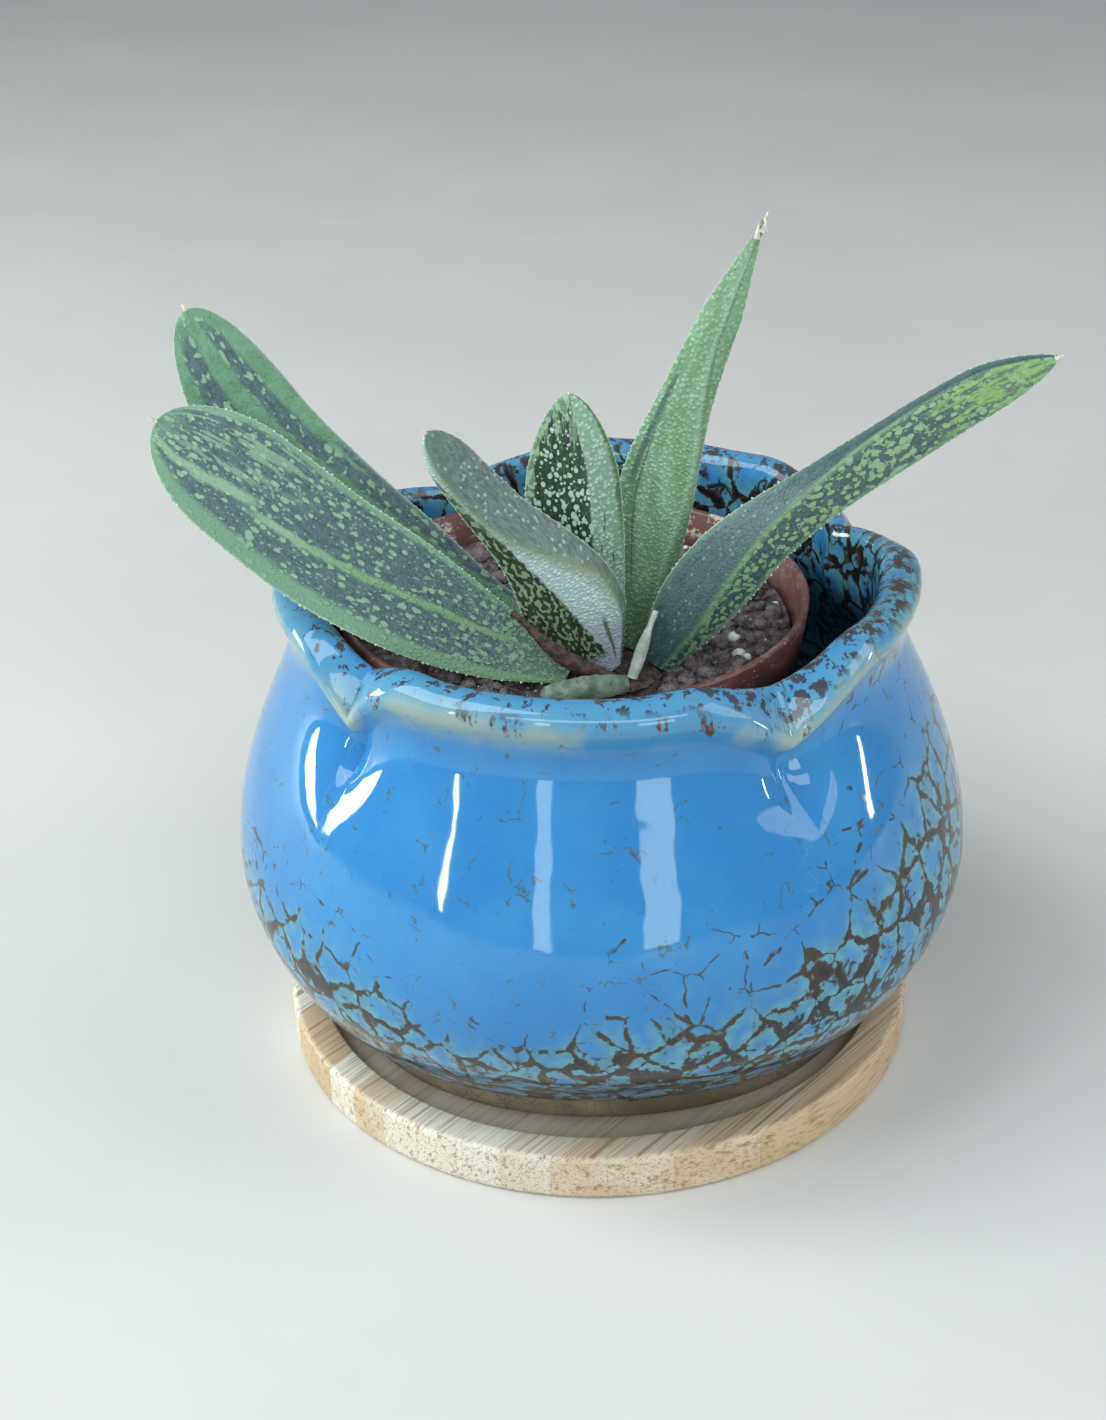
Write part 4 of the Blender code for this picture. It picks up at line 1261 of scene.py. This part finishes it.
@dataclass
class PottingMix:
    """The potting mix: a crumbly top, loose crumbs, white grains and slivers of bark."""

    centre: Pair = (-2.6, -1.0)
    crown: Pair = (2.5, -13.5)
    edge_height: float = 67.0
    dip: float = 2.4
    edge_radius: float = 31.0
    bottom: float = 11.0
    bottom_radius: float = 22.4
    rings: int = 78
    sides: int = 210
    crown_radius: float = 6.5
    soft_edge: float = 29.5
    crumb_reach: float = 29.6
    grain_reach: float = 30.0
    sliver_reach: float = 29.0
    seed: int = 11
    crumbs: int = 1150
    grains: int = 210
    slivers: int = 60

    def height(self, x: float, y: float) -> float:
        """Give the top's height: high along the pot's wall, lower and rough round the plant."""
        from_crown = math.hypot(x - self.crown[0], y - self.crown[1])
        dip = self.dip * (1.0 - fade(from_crown, 7.0, 22.0))
        rough = 0.7 * noise.noise(Vector((x, y, 3.0)) * 0.28)
        return self.edge_height - dip + rough

    def crumbly(self, x: float, y: float) -> float:
        """Give the fine clods that the top adds to its height."""
        place = Vector((x, y, 7.0))
        clods = noise.noise(place * 0.55) * 0.55 + abs(noise.noise(place * 1.3)) * 0.55
        return clods + abs(noise.noise(place * 2.9)) * 0.28 - 0.25

    def spot(self, draw: random.Random, inner: float) -> Pair:
        """Draw a place on the top, clear of the wall and of the plant's crown."""
        while True:
            x = self.centre[0] + draw.uniform(-inner, inner)
            y = self.centre[1] + draw.uniform(-inner, inner)
            from_centre = math.hypot(x - self.centre[0], y - self.centre[1])
            from_crown = math.hypot(x - self.crown[0], y - self.crown[1])
            if from_centre < inner and from_crown > self.crown_radius:
                return x, y

    def scatter(
        self, shape: bmesh.types.BMesh, draw: random.Random, x: float, y: float,
        size: Sequence[float], sunk: float,
    ) -> None:
        """Add one rough lump on the top.

        Args:
            shape: The mesh that it joins.
            draw: The source of its random turn and form.
            x: Where it lies.
            y: Where it lies.
            size: Its half sizes.
            sunk: The share of its height that is sunk in.
        """
        lump = bmesh.new()
        bmesh.ops.create_icosphere(lump, subdivisions=2, radius=1.0)
        seed = draw.uniform(0.0, 99.0)
        for vertex in lump.verts:
            vertex.co *= 1.0 + 0.45 * noise.noise(vertex.co * 1.4 + Vector((seed, seed, 0.0)))
        heading = Matrix.Rotation(draw.uniform(0.0, math.tau), 4, "Z")
        turn = heading @ Matrix.Rotation(draw.uniform(-0.5, 0.5), 4, "X")
        grow = Matrix.Diagonal((*size, 1.0))
        lift = self.height(x, y) + self.crumbly(x, y) + size[2] * (1.0 - 2.0 * sunk)
        lump.transform(Matrix.Translation((x, y, lift)) @ turn @ grow)
        merge(lump, shape)

    def build_top(self, finish: bpy.types.Material) -> None:
        """Make the body of the mix."""
        radii = [self.edge_radius * ring / self.rings for ring in range(self.rings + 1)]
        profile = [(radius, self.edge_height) for radius in radii]
        profile += [(self.bottom_radius, self.bottom), (0.0, self.bottom)]
        shape = turned(profile, self.centre, self.sides)
        for vertex in shape.verts:
            if vertex.co.z > self.edge_height - 0.1:
                x, y = vertex.co.x, vertex.co.y
                from_centre = math.hypot(x - self.centre[0], y - self.centre[1])
                inner = 1.0 - fade(from_centre, self.soft_edge, self.edge_radius)
                vertex.co.z = self.height(x, y) + self.crumbly(x, y) * inner
        bmesh.ops.recalc_face_normals(shape, faces=shape.faces[:])
        new_piece("potting_mix", shape, finish, ["soil"], ALL_SMOOTH)

    def build(self) -> None:
        """Make the mix and what lies on it."""
        compost = CompostFinish()
        self.build_top(compost.build("compost", 0.35))
        draw = random.Random(self.seed)
        crumbs = bmesh.new()
        for _ in range(self.crumbs):
            x, y = self.spot(draw, self.crumb_reach)
            size = 0.30 + draw.random() ** 2.5 * 1.25
            self.scatter(crumbs, draw, x, y, (size * draw.uniform(0.8, 1.4), size, size * 0.7), 0.35)
        dry = compost.build("crumbs", 0.6)
        new_piece("soil_crumbs", crumbs, dry, (), ALL_SMOOTH)
        grains = bmesh.new()
        for (x, y), size in self.marked_grains():
            self.scatter(grains, draw, x, y, (size, size * 0.85, size * 0.8), 0.3)
        for _ in range(self.grains):
            x, y = self.spot(draw, self.grain_reach)
            size = 0.13 + draw.random() ** 4 * 0.62
            self.scatter(grains, draw, x, y, (size * draw.uniform(0.8, 1.3), size, size * 0.8), 0.3)
        white = PlainFinish("perlite", paint(226, 232, 228), paint(196, 200, 196), 0.8, 2.0, 0.2)
        new_piece("perlite_grains", grains, white.build(), (), ALL_SMOOTH)
        slivers = bmesh.new()
        for _ in range(self.slivers):
            x, y = self.spot(draw, self.sliver_reach)
            self.scatter(slivers, draw, x, y, (draw.uniform(0.9, 2.3), 0.26, 0.16), 0.2)
        bark = PlainFinish("bark", paint(92, 66, 50), paint(58, 42, 36), 0.85, 0.9, 0.2)
        new_piece("bark_slivers", slivers, bark.build(), (), ALL_SMOOTH)

    @staticmethod
    def marked_grains() -> list[tuple[Pair, float]]:
        """List the few large white grains, each with its half size."""
        return [((19.9, -6.6), 0.95), ((20.4, -11.8), 1.1), ((15.4, -15.0), 0.55), ((24.0, -9.0), 0.4)]


@dataclass
class Leaf:
    """One leaf, lofted along its spine, or a leafy scrap such as a sheath.

    spine runs from base to tip. facing is the way the shown face looks. half_width, ridge,
    ridge_at and back are spread evenly along it: the half width, how far the shown face
    stands out and where across it, and the depth behind. pebble and tooth are the heights of
    the skin's pebbles and of the margin's teeth.
    """

    name: str
    stands_for: str
    spine: tuple[Triple, ...]
    half_width: tuple[float, ...]
    ridge: tuple[float, ...]
    ridge_at: tuple[float, ...]
    back: tuple[float, ...]
    facing: tuple[Triple, Triple]
    crisp: float
    tip: Pair
    pebble: float = 0.03
    pebble_pitch: float = 0.6
    tooth: float = 0.16
    tooth_pitch: float = 1.3
    step: float = 0.26
    round_steps: int = 84
    least_half_width: float = 0.4
    least_back: float = 0.1
    thin_edge: float = 0.32
    edge_growth: float = 0.2
    back_crisp: float = 1.6
    tip_crowding: float = 1.25
    sharp: float = 75.0

    def closing(self, share: float) -> float:
        """Give how wide the leaf still is where its margins close towards the tip."""
        start, roundness = self.tip
        if share <= start:
            return 1.0
        past = (share - start) / (1.0 - start)
        return (1.0 - past**roundness) ** (1.0 / roundness)

    def place(self, share: float, turn: float) -> tuple[Vector, Vector, Vector]:
        """Find a point of the skin.

        Args:
            share: How far along the leaf, from 0 to 1.
            turn: How far round its section, from 0 to 1. The first half is the shown face.

        Returns:
            The point, its place on the leaf laid flat, and its shares.
        """
        spine = [Vector(point) for point in self.spine]
        centre = along(spine, share)
        ahead = (along(spine, min(share + 0.01, 1.0)) - along(spine, max(share - 0.01, 0.0))).normalized()
        out = along([Vector(direction) for direction in self.facing], share)
        out = (out - ahead * out.dot(ahead)).normalized()
        sideways = ahead.cross(out)
        closing = self.closing(share)
        half = max(along(self.half_width, share) * closing, self.least_half_width)
        shown = turn < 0.5
        across = -math.cos(math.tau * turn)
        if not shown:
            across = math.cos(math.tau * (turn - 0.5))
        edge = self.thin_edge + self.edge_growth * fade(half, 1.0, 5.0)
        round_edge = edge * math.sqrt(max(0.0, 1.0 - across * across))
        ridge_at = along(self.ridge_at, share)
        if shown:
            side = 1.0 - ridge_at if across > ridge_at else 1.0 + ridge_at
            away = math.sqrt(((across - ridge_at) / side) ** 2 + 0.004)
            depth = round_edge + along(self.ridge, share) * closing * max(0.0, 1.0 - away**self.crisp)
        else:
            back = max(along(self.back, share) * closing, self.least_back)
            depth = -round_edge - back * (1.0 - abs(across) ** self.back_crisp)
        flat = Vector((across * half, share * self.length(), 1.0 if shown else -1.0))
        bumps = self.pebbles(flat) * fade(1.0 - abs(across), 0.0, 0.06)
        depth += bumps if shown else -bumps
        reach = across * (half + self.teeth(flat) * fade(abs(across), 0.93, 1.0))
        point = centre + sideways * reach + out * depth
        return point, flat, Vector((across, share, across - ridge_at))

    def length(self) -> float:
        """Measure the spine."""
        return sum(math.dist(a, b) for a, b in zip(self.spine, self.spine[1:]))

    def pebbles(self, flat: Vector) -> float:
        """Give the height of the skin's pebbles at a place on the leaf laid flat."""
        if self.pebble == 0.0:
            return 0.0
        place = Vector((flat.x, flat.y * 0.85, flat.z * 5.0)) / self.pebble_pitch
        nearest = noise.voronoi(place)[0][0]
        return self.pebble * (1.0 - fade(nearest, 0.1, 0.6))

    def teeth(self, flat: Vector) -> float:
        """Give how far the margin's teeth stand out at a place along it."""
        side = 31.0 if flat.x > 0.0 else 7.0
        beat = (flat.y / self.tooth_pitch + 0.6 * noise.noise(Vector((flat.y * 0.9, side, 0.0)))) % 1.0
        size = 0.5 + 0.8 * abs(noise.noise(Vector((flat.y * 1.7, side, 5.0))))
        return self.tooth * size * (1.0 - fade(abs(beat - 0.5), 0.0, 0.32))

    def build(self, finish: bpy.types.Material, slot: str) -> None:
        """Make the leaf.

        Args:
            finish: Its skin.
            slot: The record's slot, which is not used.
        """
        stations = max(12, round(self.length() / self.step))
        shape = bmesh.new()
        place_layer = shape.verts.layers.float_vector.new("leaf_place")
        share_layer = shape.verts.layers.float_vector.new("leaf_share")
        bmesh.ops.create_cone(
            shape, cap_ends=True, cap_tris=False, segments=self.round_steps,
            radius1=1.0, radius2=1.0, depth=1.0,
        )
        uprights = [edge for edge in shape.edges if abs(edge.verts[0].co.z - edge.verts[1].co.z) > 0.5]
        bmesh.ops.subdivide_edges(shape, edges=uprights, cuts=stations - 1, use_grid_fill=True)
        for vertex in shape.verts:
            even = vertex.co.z + 0.5
            share = 1.0 - (1.0 - even) ** self.tip_crowding
            turn = (math.atan2(vertex.co.y, vertex.co.x) / math.tau) % 1.0
            point, flat, shares = self.place(share, turn)
            vertex.co = point
            vertex[place_layer] = flat
            vertex[share_layer] = shares
        bmesh.ops.recalc_face_normals(shape, faces=shape.faces[:])
        new_piece(self.name, shape, finish, [self.stands_for], self.sharp)


def leaf_forms() -> list[tuple[Leaf, LeafLook]]:
    """List the leaves, each with its look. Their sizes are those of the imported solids."""
    return [
        (Leaf(
            "broad_leaf_front", "leaf_left_front",
            spine=((-3.6, -16.9, 67.6), (-14.5, -16.6, 72.6), (-25.0, -16.8, 79.4),
                   (-36.1, -16.9, 87.6), (-46.2, -16.7, 97.0), (-56.2, -16.5, 105.6)),
            half_width=(2.0, 5.4, 7.6, 8.3, 8.1, 7.3), ridge=(0.0, -0.5, -0.8, -0.6, -0.3, 0.0),
            ridge_at=(0.0, 0.0), back=(1.8, 3.4, 3.6, 3.2, 2.4, 1.2),
            facing=((0.1, -0.85, 0.5), (0.15, -0.85, 0.5)), crisp=2.0, tip=(0.8, 2.0),
        ), LeafLook.STRIPED),
        (Leaf(
            "broad_leaf_back", "leaf_left_back",
            spine=((-3.2, -10.2, 67.9), (-15.0, -8.0, 72.0), (-25.0, -6.4, 79.4),
                   (-35.2, -4.7, 88.6), (-45.4, -2.7, 100.0), (-53.6, 0.0, 114.8)),
            half_width=(2.4, 5.0, 6.6, 7.0, 7.0, 6.4), ridge=(0.0, -0.4, -0.7, -0.6, -0.3, 0.0),
            ridge_at=(0.0, 0.0), back=(1.8, 3.2, 3.4, 3.0, 2.4, 1.2),
            facing=((0.2, -0.8, 0.55), (0.15, -0.85, 0.5)), crisp=2.0, tip=(0.8, 2.0), tooth=0.08,
        ), LeafLook.BANDED),
        (Leaf(
            "recurved_leaf", "leaf_centre_left",
            spine=((2.3, -16.6, 67.6), (-0.8, -17.6, 73.0), (-3.4, -18.9, 79.8), (-7.1, -20.2, 86.3),
                   (-12.1, -21.7, 93.0), (-16.8, -23.3, 99.8), (-20.9, -25.0, 106.4)),
            half_width=(1.8, 5.0, 6.8, 6.6, 5.3, 4.1, 3.6, 3.2, 2.8),
            ridge=(0.3, 1.6, 2.4, 2.6, 2.4, 1.8, 1.0, 0.6, 0.2),
            ridge_at=(0.7, 0.75, 0.75, 0.65, 0.2, -0.4, -0.7, -0.75, -0.75),
            back=(1.2, 2.2, 2.6, 2.6, 2.4, 2.0, 1.6, 1.2, 0.8),
            facing=((0.05, -0.9, 0.35), (0.1, -0.85, 0.5)), crisp=1.15, tip=(0.86, 2.0), tooth=0.08,
            pebble=0.06, pebble_pitch=0.55, step=0.22,
        ), LeafLook.RECURVED),
        (Leaf(
            "upright_leaf", "leaf_centre",
            spine=((0.8, -11.4, 67.2), (-1.6, -11.5, 78.5), (-2.3, -11.7, 88.0),
                   (-2.5, -11.8, 97.0), (-2.7, -12.0, 106.0)),
            half_width=(3.0, 5.4, 6.4, 6.6, 6.3, 5.7, 4.9), ridge=(0.6, 1.6, 2.0, 2.0, 1.8, 1.4, 0.6),
            ridge_at=(0.3, 0.3, 0.35, 0.3, 0.1), back=(1.6, 2.4, 2.8, 2.8, 2.4, 2.0, 1.0),
            facing=((0.0, -1.0, 0.1), (0.0, -1.0, 0.1)), crisp=1.1, tip=(0.62, 2.0), tooth=0.10,
            pebble=0.05, pebble_pitch=0.62, step=0.22,
        ), LeafLook.SPECKLED),
        (Leaf(
            "tall_leaf", "leaf_right_tall",
            spine=((5.7, -8.6, 66.6), (7.5, -6.7, 79.0), (9.2, -6.0, 90.0), (12.6, -5.4, 101.0),
                   (17.6, -4.7, 113.2), (23.2, -4.0, 126.0)),
            half_width=(1.8, 3.4, 4.8, 5.3, 4.7, 3.7, 3.0, 2.4, 1.6),
            ridge=(0.6, 1.4, 1.8, 1.8, 1.6, 1.4, 1.2, 0.8, 0.3),
            ridge_at=(0.5, 0.55, 0.6, 0.75, 0.82, 0.58, 0.2, 0.12, 0.1),
            back=(1.6, 2.4, 3.0, 3.2, 3.0, 2.4, 2.0, 1.4, 0.6),
            facing=((0.0, -0.95, 0.2), (0.0, -0.95, 0.2)), crisp=1.1, tip=(0.8, 1.3),
            pebble=0.07, pebble_pitch=0.62, tooth=0.13, tooth_pitch=1.4,
        ), LeafLook.PEBBLED),
        (Leaf(
            "long_leaf", "leaf_right_long",
            spine=((8.4, -14.0, 66.9), (14.5, -14.3, 77.0), (21.5, -14.7, 85.3), (30.3, -15.0, 92.4),
                   (40.0, -15.3, 99.2), (50.0, -15.7, 105.8), (60.1, -16.0, 110.6)),
            half_width=(2.4, 4.9, 5.3, 4.5, 3.8, 3.6, 3.5, 3.2, 2.6),
            ridge=(0.6, 1.8, 2.4, 2.6, 2.4, 2.0, 1.6, 1.2, 0.4),
            ridge_at=(0.4, 0.4, 0.25, 0.0, -0.3, -0.6, -0.7, -0.7, -0.6),
            back=(1.8, 3.0, 3.4, 3.2, 3.0, 2.6, 2.2, 1.6, 0.8),
            facing=((0.0, -0.9, 0.4), (0.1, -0.85, 0.5)), crisp=1.1, tip=(0.84, 1.7),
            pebble=0.03, tooth=0.14, tooth_pitch=1.3,
        ), LeafLook.BLOTCHED),
        (Leaf(
            "leaf_stub", "leaf_stub_front",
            spine=((4.2, -20.6, 67.3), (-1.0, -23.2, 68.2), (-4.9, -23.9, 67.8), (-7.6, -24.0, 67.3)),
            half_width=(1.2, 1.6, 1.7, 1.6, 1.3), ridge=(0.3, 0.5, 0.6, 0.5, 0.3), ridge_at=(0.1, 0.1),
            back=(0.6, 0.9, 1.0, 0.9, 0.6), facing=((0.0, -0.85, 0.5), (0.0, -0.85, 0.5)),
            crisp=2.0, tip=(0.8, 2.6), pebble=0.09, pebble_pitch=1.1, tooth=0.15, round_steps=48,
        ), LeafLook.WITHERED),
    ]


@dataclass
class MarginPearls:
    """The tiny white pearls that make a leaf's margins rough."""

    leaf: Leaf
    pitch: float
    radius: float
    seed: int

    def build(self, shape: bmesh.types.BMesh) -> None:
        """Add the pearls along both margins to a shape."""
        draw = random.Random(self.seed)
        length = self.leaf.length()
        for turn in (0.0, 0.5):
            reach = 0.05 * length
            while reach < length * 0.985:
                place, _, _ = self.leaf.place(reach / length, turn)
                size = self.radius * draw.uniform(0.5, 1.15)
                pearl = bmesh.new()
                at = Matrix.Translation(place)
                bmesh.ops.create_icosphere(pearl, subdivisions=1, radius=size, matrix=at)
                merge(pearl, shape)
                reach += self.pitch * draw.uniform(0.4, 1.7)


@dataclass
class LeafPoint:
    """The short dry point that ends a leaf."""

    base: Triple
    end: Triple
    radius: float

    def build(self, shape: bmesh.types.BMesh) -> None:
        """Add the point to a shape."""
        base = Vector(self.base)
        reach = Vector(self.end) - base
        turn = reach.to_track_quat("Z", "Y").to_matrix().to_4x4()
        at = Matrix.Translation(base + reach * 0.5) @ turn
        bmesh.ops.create_cone(
            shape, cap_ends=True, cap_tris=False, segments=12, radius1=self.radius,
            radius2=self.radius * 0.12, depth=reach.length, matrix=at,
        )


def leaf_points() -> list[LeafPoint]:
    """List the leaves' points."""
    return [
        LeafPoint((-56.1, -16.5, 105.5), (-57.1, -16.4, 106.4), 0.40),
        LeafPoint((-53.5, 0.0, 114.7), (-54.0, 0.3, 115.7), 0.40),
        LeafPoint((22.9, -4.1, 124.6), (23.7, -4.0, 127.2), 0.56),
        LeafPoint((22.3, -4.3, 123.8), (22.5, -4.6, 126.0), 0.46),
        LeafPoint((59.7, -16.0, 110.4), (60.9, -16.0, 111.0), 0.50),
        LeafPoint((-20.8, -24.9, 106.1), (-21.3, -25.1, 106.9), 0.36),
        LeafPoint((-2.7, -12.0, 105.8), (-2.7, -12.1, 106.5), 0.36),
    ]


def build_trimmings(leaves: Sequence[Leaf]) -> None:
    """Make the pearls on the margins of the given leaves, and all the leaves' points."""
    pearls = bmesh.new()
    for number, leaf in enumerate(leaves):
        MarginPearls(leaf, leaf.tooth_pitch, 0.08 + leaf.tooth * 0.7, 40 + number).build(pearls)
    white = PlainFinish("pearl", paint(206, 218, 202), paint(160, 186, 156), 0.25, 1.5, 0.0)
    new_piece("margin_pearls", pearls, white.build(), (), ALL_SMOOTH)
    points = bmesh.new()
    for point in leaf_points():
        point.build(points)
    dry = PlainFinish("leaf_point", paint(214, 208, 192), paint(170, 160, 140), 0.5, 1.5, 0.02)
    new_piece("leaf_points", points, dry.build(), (), 60.0)


def sheath_forms() -> list[tuple[Leaf, PlainFinish, str]]:
    """List the two papery sheaths, each with its finish and slot."""
    dry = PlainFinish("dry_sheath", paint(92, 74, 68), paint(56, 42, 40), 0.8, 1.2, 0.2)
    white = PlainFinish("white_sheath", paint(216, 222, 216), paint(170, 186, 172), 0.5, 0.7, 0.08)
    return [
        (Leaf(
            "dry_brown_sheath", "sheath_dry",
            spine=((2.8, -19.0, 67.1), (-0.9, -20.9, 69.8), (-5.2, -21.8, 73.0), (-11.0, -21.6, 79.2)),
            half_width=(0.7, 1.0, 1.1, 0.9), ridge=(0.3, 0.3), ridge_at=(0.0, 0.0), back=(0.1, 0.1),
            facing=((0.1, -0.85, 0.5), (0.1, -0.85, 0.5)), crisp=2.0, tip=(0.6, 1.3),
            pebble=0.14, pebble_pitch=0.9, tooth=0.3, round_steps=40,
        ), dry, "dry_leaf"),
        (Leaf(
            "thin_white_sheath", "sheath_white",
            spine=((5.0, -18.2, 66.9), (6.0, -17.6, 69.6), (7.0, -17.0, 72.6), (8.4, -16.2, 76.0)),
            half_width=(0.7, 0.9, 0.8, 0.5), ridge=(0.2, 0.2), ridge_at=(0.0, 0.0), back=(0.1, 0.1),
            facing=((0.2, -0.9, 0.3), (0.2, -0.9, 0.3)), crisp=2.0, tip=(0.5, 1.3),
            pebble=0.0, tooth=0.0, round_steps=40,
        ), white, "pale_leaf"),
    ]


@dataclass
class Crown:
    """The stem's crown with fibres and a curled rootlet."""

    def build(self) -> None:
        """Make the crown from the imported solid, roughened."""
        shape = smooth_copy("stem")
        bmesh.ops.subdivide_edges(shape, edges=shape.edges[:], cuts=3, use_grid_fill=True)
        for vertex in shape.verts:
            vertex.co.z += 0.5 * noise.noise(vertex.co * 0.9) * fade(vertex.co.z, 62.0, 65.0)
        brown = PlainFinish("crown_fibre", paint(92, 78, 70), paint(46, 38, 36), 0.85, 1.4, 0.4)
        new_piece("crown", shape, brown.build(), ["stem"], ALL_SMOOTH)


@dataclass
class Studio:
    """A plain pale floor, soft light, and a camera that stands where the photo was taken."""

    camera_place: Triple = (-5.97, -283.24, 211.04)
    pitch: float = 29.32
    roll: float = -1.65
    focal_pixels: float = 2200.0
    frame_height: float = 1420.0
    sensor: float = 36.0
    floor_half: float = 3000.0
    world_colour: Colour = (0.80, 0.86, 0.94)
    world_strength: float = 0.38
    window_away: float = 760.0
    window_height: float = 140.0
    window_tint: Colour = (0.86, 1.0, 0.84)
    aim_height: float = 60.0

    def build(self) -> None:
        """Set the stage."""
        self.add_floor()
        self.add_world()
        self.add_lights()
        self.add_camera()
        bpy.context.scene.view_settings.view_transform = "Standard"

    def add_floor(self) -> None:
        """Lay a wide pale floor."""
        shape = bmesh.new()
        bmesh.ops.create_grid(shape, x_segments=1, y_segments=1, size=self.floor_half * MM)
        mesh = bpy.data.meshes.new("floor")
        shape.to_mesh(mesh)
        shape.free()
        pale = PlainFinish("floor", paint(206, 204, 200), paint(210, 208, 204), 0.7, 0.01, 0.0)
        mesh.materials.append(pale.build())
        floor = bpy.data.objects.new("floor", mesh)
        bpy.context.scene.collection.objects.link(floor)

    def add_world(self) -> None:
        """Light the room softly."""
        world = bpy.data.worlds.new("room")
        world.use_nodes = True
        background = world.node_tree.nodes["Background"]
        background.inputs["Color"].default_value = (*self.world_colour, 1.0)
        background.inputs["Strength"].default_value = self.world_strength
        bpy.context.scene.world = world

    def add_lights(self) -> None:
        """Hang a large soft light and the tall windows that the glaze reflects."""
        panels = (
            ("key", (-420.0, -120.0, 620.0), (520.0, 520.0), 4.1),
            ("fill", (520.0, -120.0, 420.0), (380.0, 380.0), 1.2),
            ("front", (0.0, -900.0, 620.0), (1100.0, 260.0), 3.8),
        )
        windows = (
            ("window_left", -19.0, (58.0, 250.0), 0.25),
            ("window_right", 15.5, (150.0, 250.0), 0.62),
            ("window_far_left", -106.0, (330.0, 190.0), 3.6),
            ("slit_left", -47.0, (16.0, 190.0), 0.35),
            ("slit_right", 88.0, (30.0, 190.0), 0.6),
        )
        for name, place, size, power in panels:
            self.add_panel(name, place, size, power)
        for name, turn, size, power in windows:
            self.add_window(name, turn, size, power)

    def add_window(self, name: str, turn: float, size: Pair, power: float) -> None:
        """Stand a tall window near the pot.

        Args:
            name: The light's name.
            turn: Its direction from the pot in degrees, 0 in front and positive to the right.
            size: Its width and height in millimetres.
            power: Its power in watts.
        """
        angle = math.radians(turn)
        outwards = Vector((math.sin(angle), -math.cos(angle), 0.0)) * self.window_away
        place = (outwards.x, outwards.y, self.window_height)
        self.add_panel(name, place, size, power, self.window_tint)

    def add_panel(
        self, name: str, place: Sequence[float], size: Pair, power: float,
        tint: Colour = (0.90, 0.96, 1.0),
    ) -> None:
        """Add a rectangular light that looks at the plant.

        Args:
            name: The light's name.
            place: Where it is, in millimetres.
            size: Its width and height in millimetres.
            power: Its power in watts.
            tint: Its colour.
        """
        light = bpy.data.lights.new(name, "AREA")
        light.shape = "RECTANGLE"
        light.size = size[0] * MM
        light.size_y = size[1] * MM
        light.energy = power
        light.color = tint
        panel = bpy.data.objects.new(name, light)
        origin = Vector(place)
        aim = Vector((0.0, 0.0, self.aim_height)) - origin
        turn = aim.to_track_quat("-Z", "Y").to_matrix().to_4x4()
        panel.matrix_world = Matrix.Translation(origin * MM) @ turn
        bpy.context.scene.collection.objects.link(panel)

    def add_camera(self) -> None:
        """Place the camera."""
        pitch = math.radians(self.pitch)
        roll = math.radians(self.roll)
        ahead = Vector((0.0, math.cos(pitch), -math.sin(pitch)))
        level = Vector((1.0, 0.0, 0.0))
        above = level.cross(ahead)
        right = level * math.cos(roll) + above * math.sin(roll)
        up = above * math.cos(roll) - level * math.sin(roll)
        turn = Matrix((right, up, -ahead)).transposed().to_4x4()
        lens = bpy.data.cameras.new("camera")
        lens.sensor_fit = "VERTICAL"
        lens.sensor_height = self.sensor
        lens.lens = self.sensor * self.focal_pixels / self.frame_height
        lens.clip_start = 10.0 * MM
        camera = bpy.data.objects.new("camera", lens)
        camera.matrix_world = Matrix.Translation(Vector(self.camera_place) * MM) @ turn
        bpy.context.scene.collection.objects.link(camera)
        bpy.context.scene.camera = camera


def main() -> None:
    """Build every piece of the object, then the studio round it."""
    logging.basicConfig(level=logging.INFO, format="%(message)s")
    BambooSaucer().build()
    GlazedPot().build()
    NurseryPot().build()
    PottingMix().build()
    Crown().build()
    forms = leaf_forms()
    for leaf, look in forms:
        slot = "pale_leaf" if look is LeafLook.WITHERED else "leaf_green"
        leaf.build(LeafFinish(look).build(), slot)
    build_trimmings([leaf for leaf, look in forms if look is not LeafLook.WITHERED])
    for sheath, finish, slot in sheath_forms():
        sheath.build(finish.build(), slot)
    Studio().build()


if __name__ == "__main__":
    main()
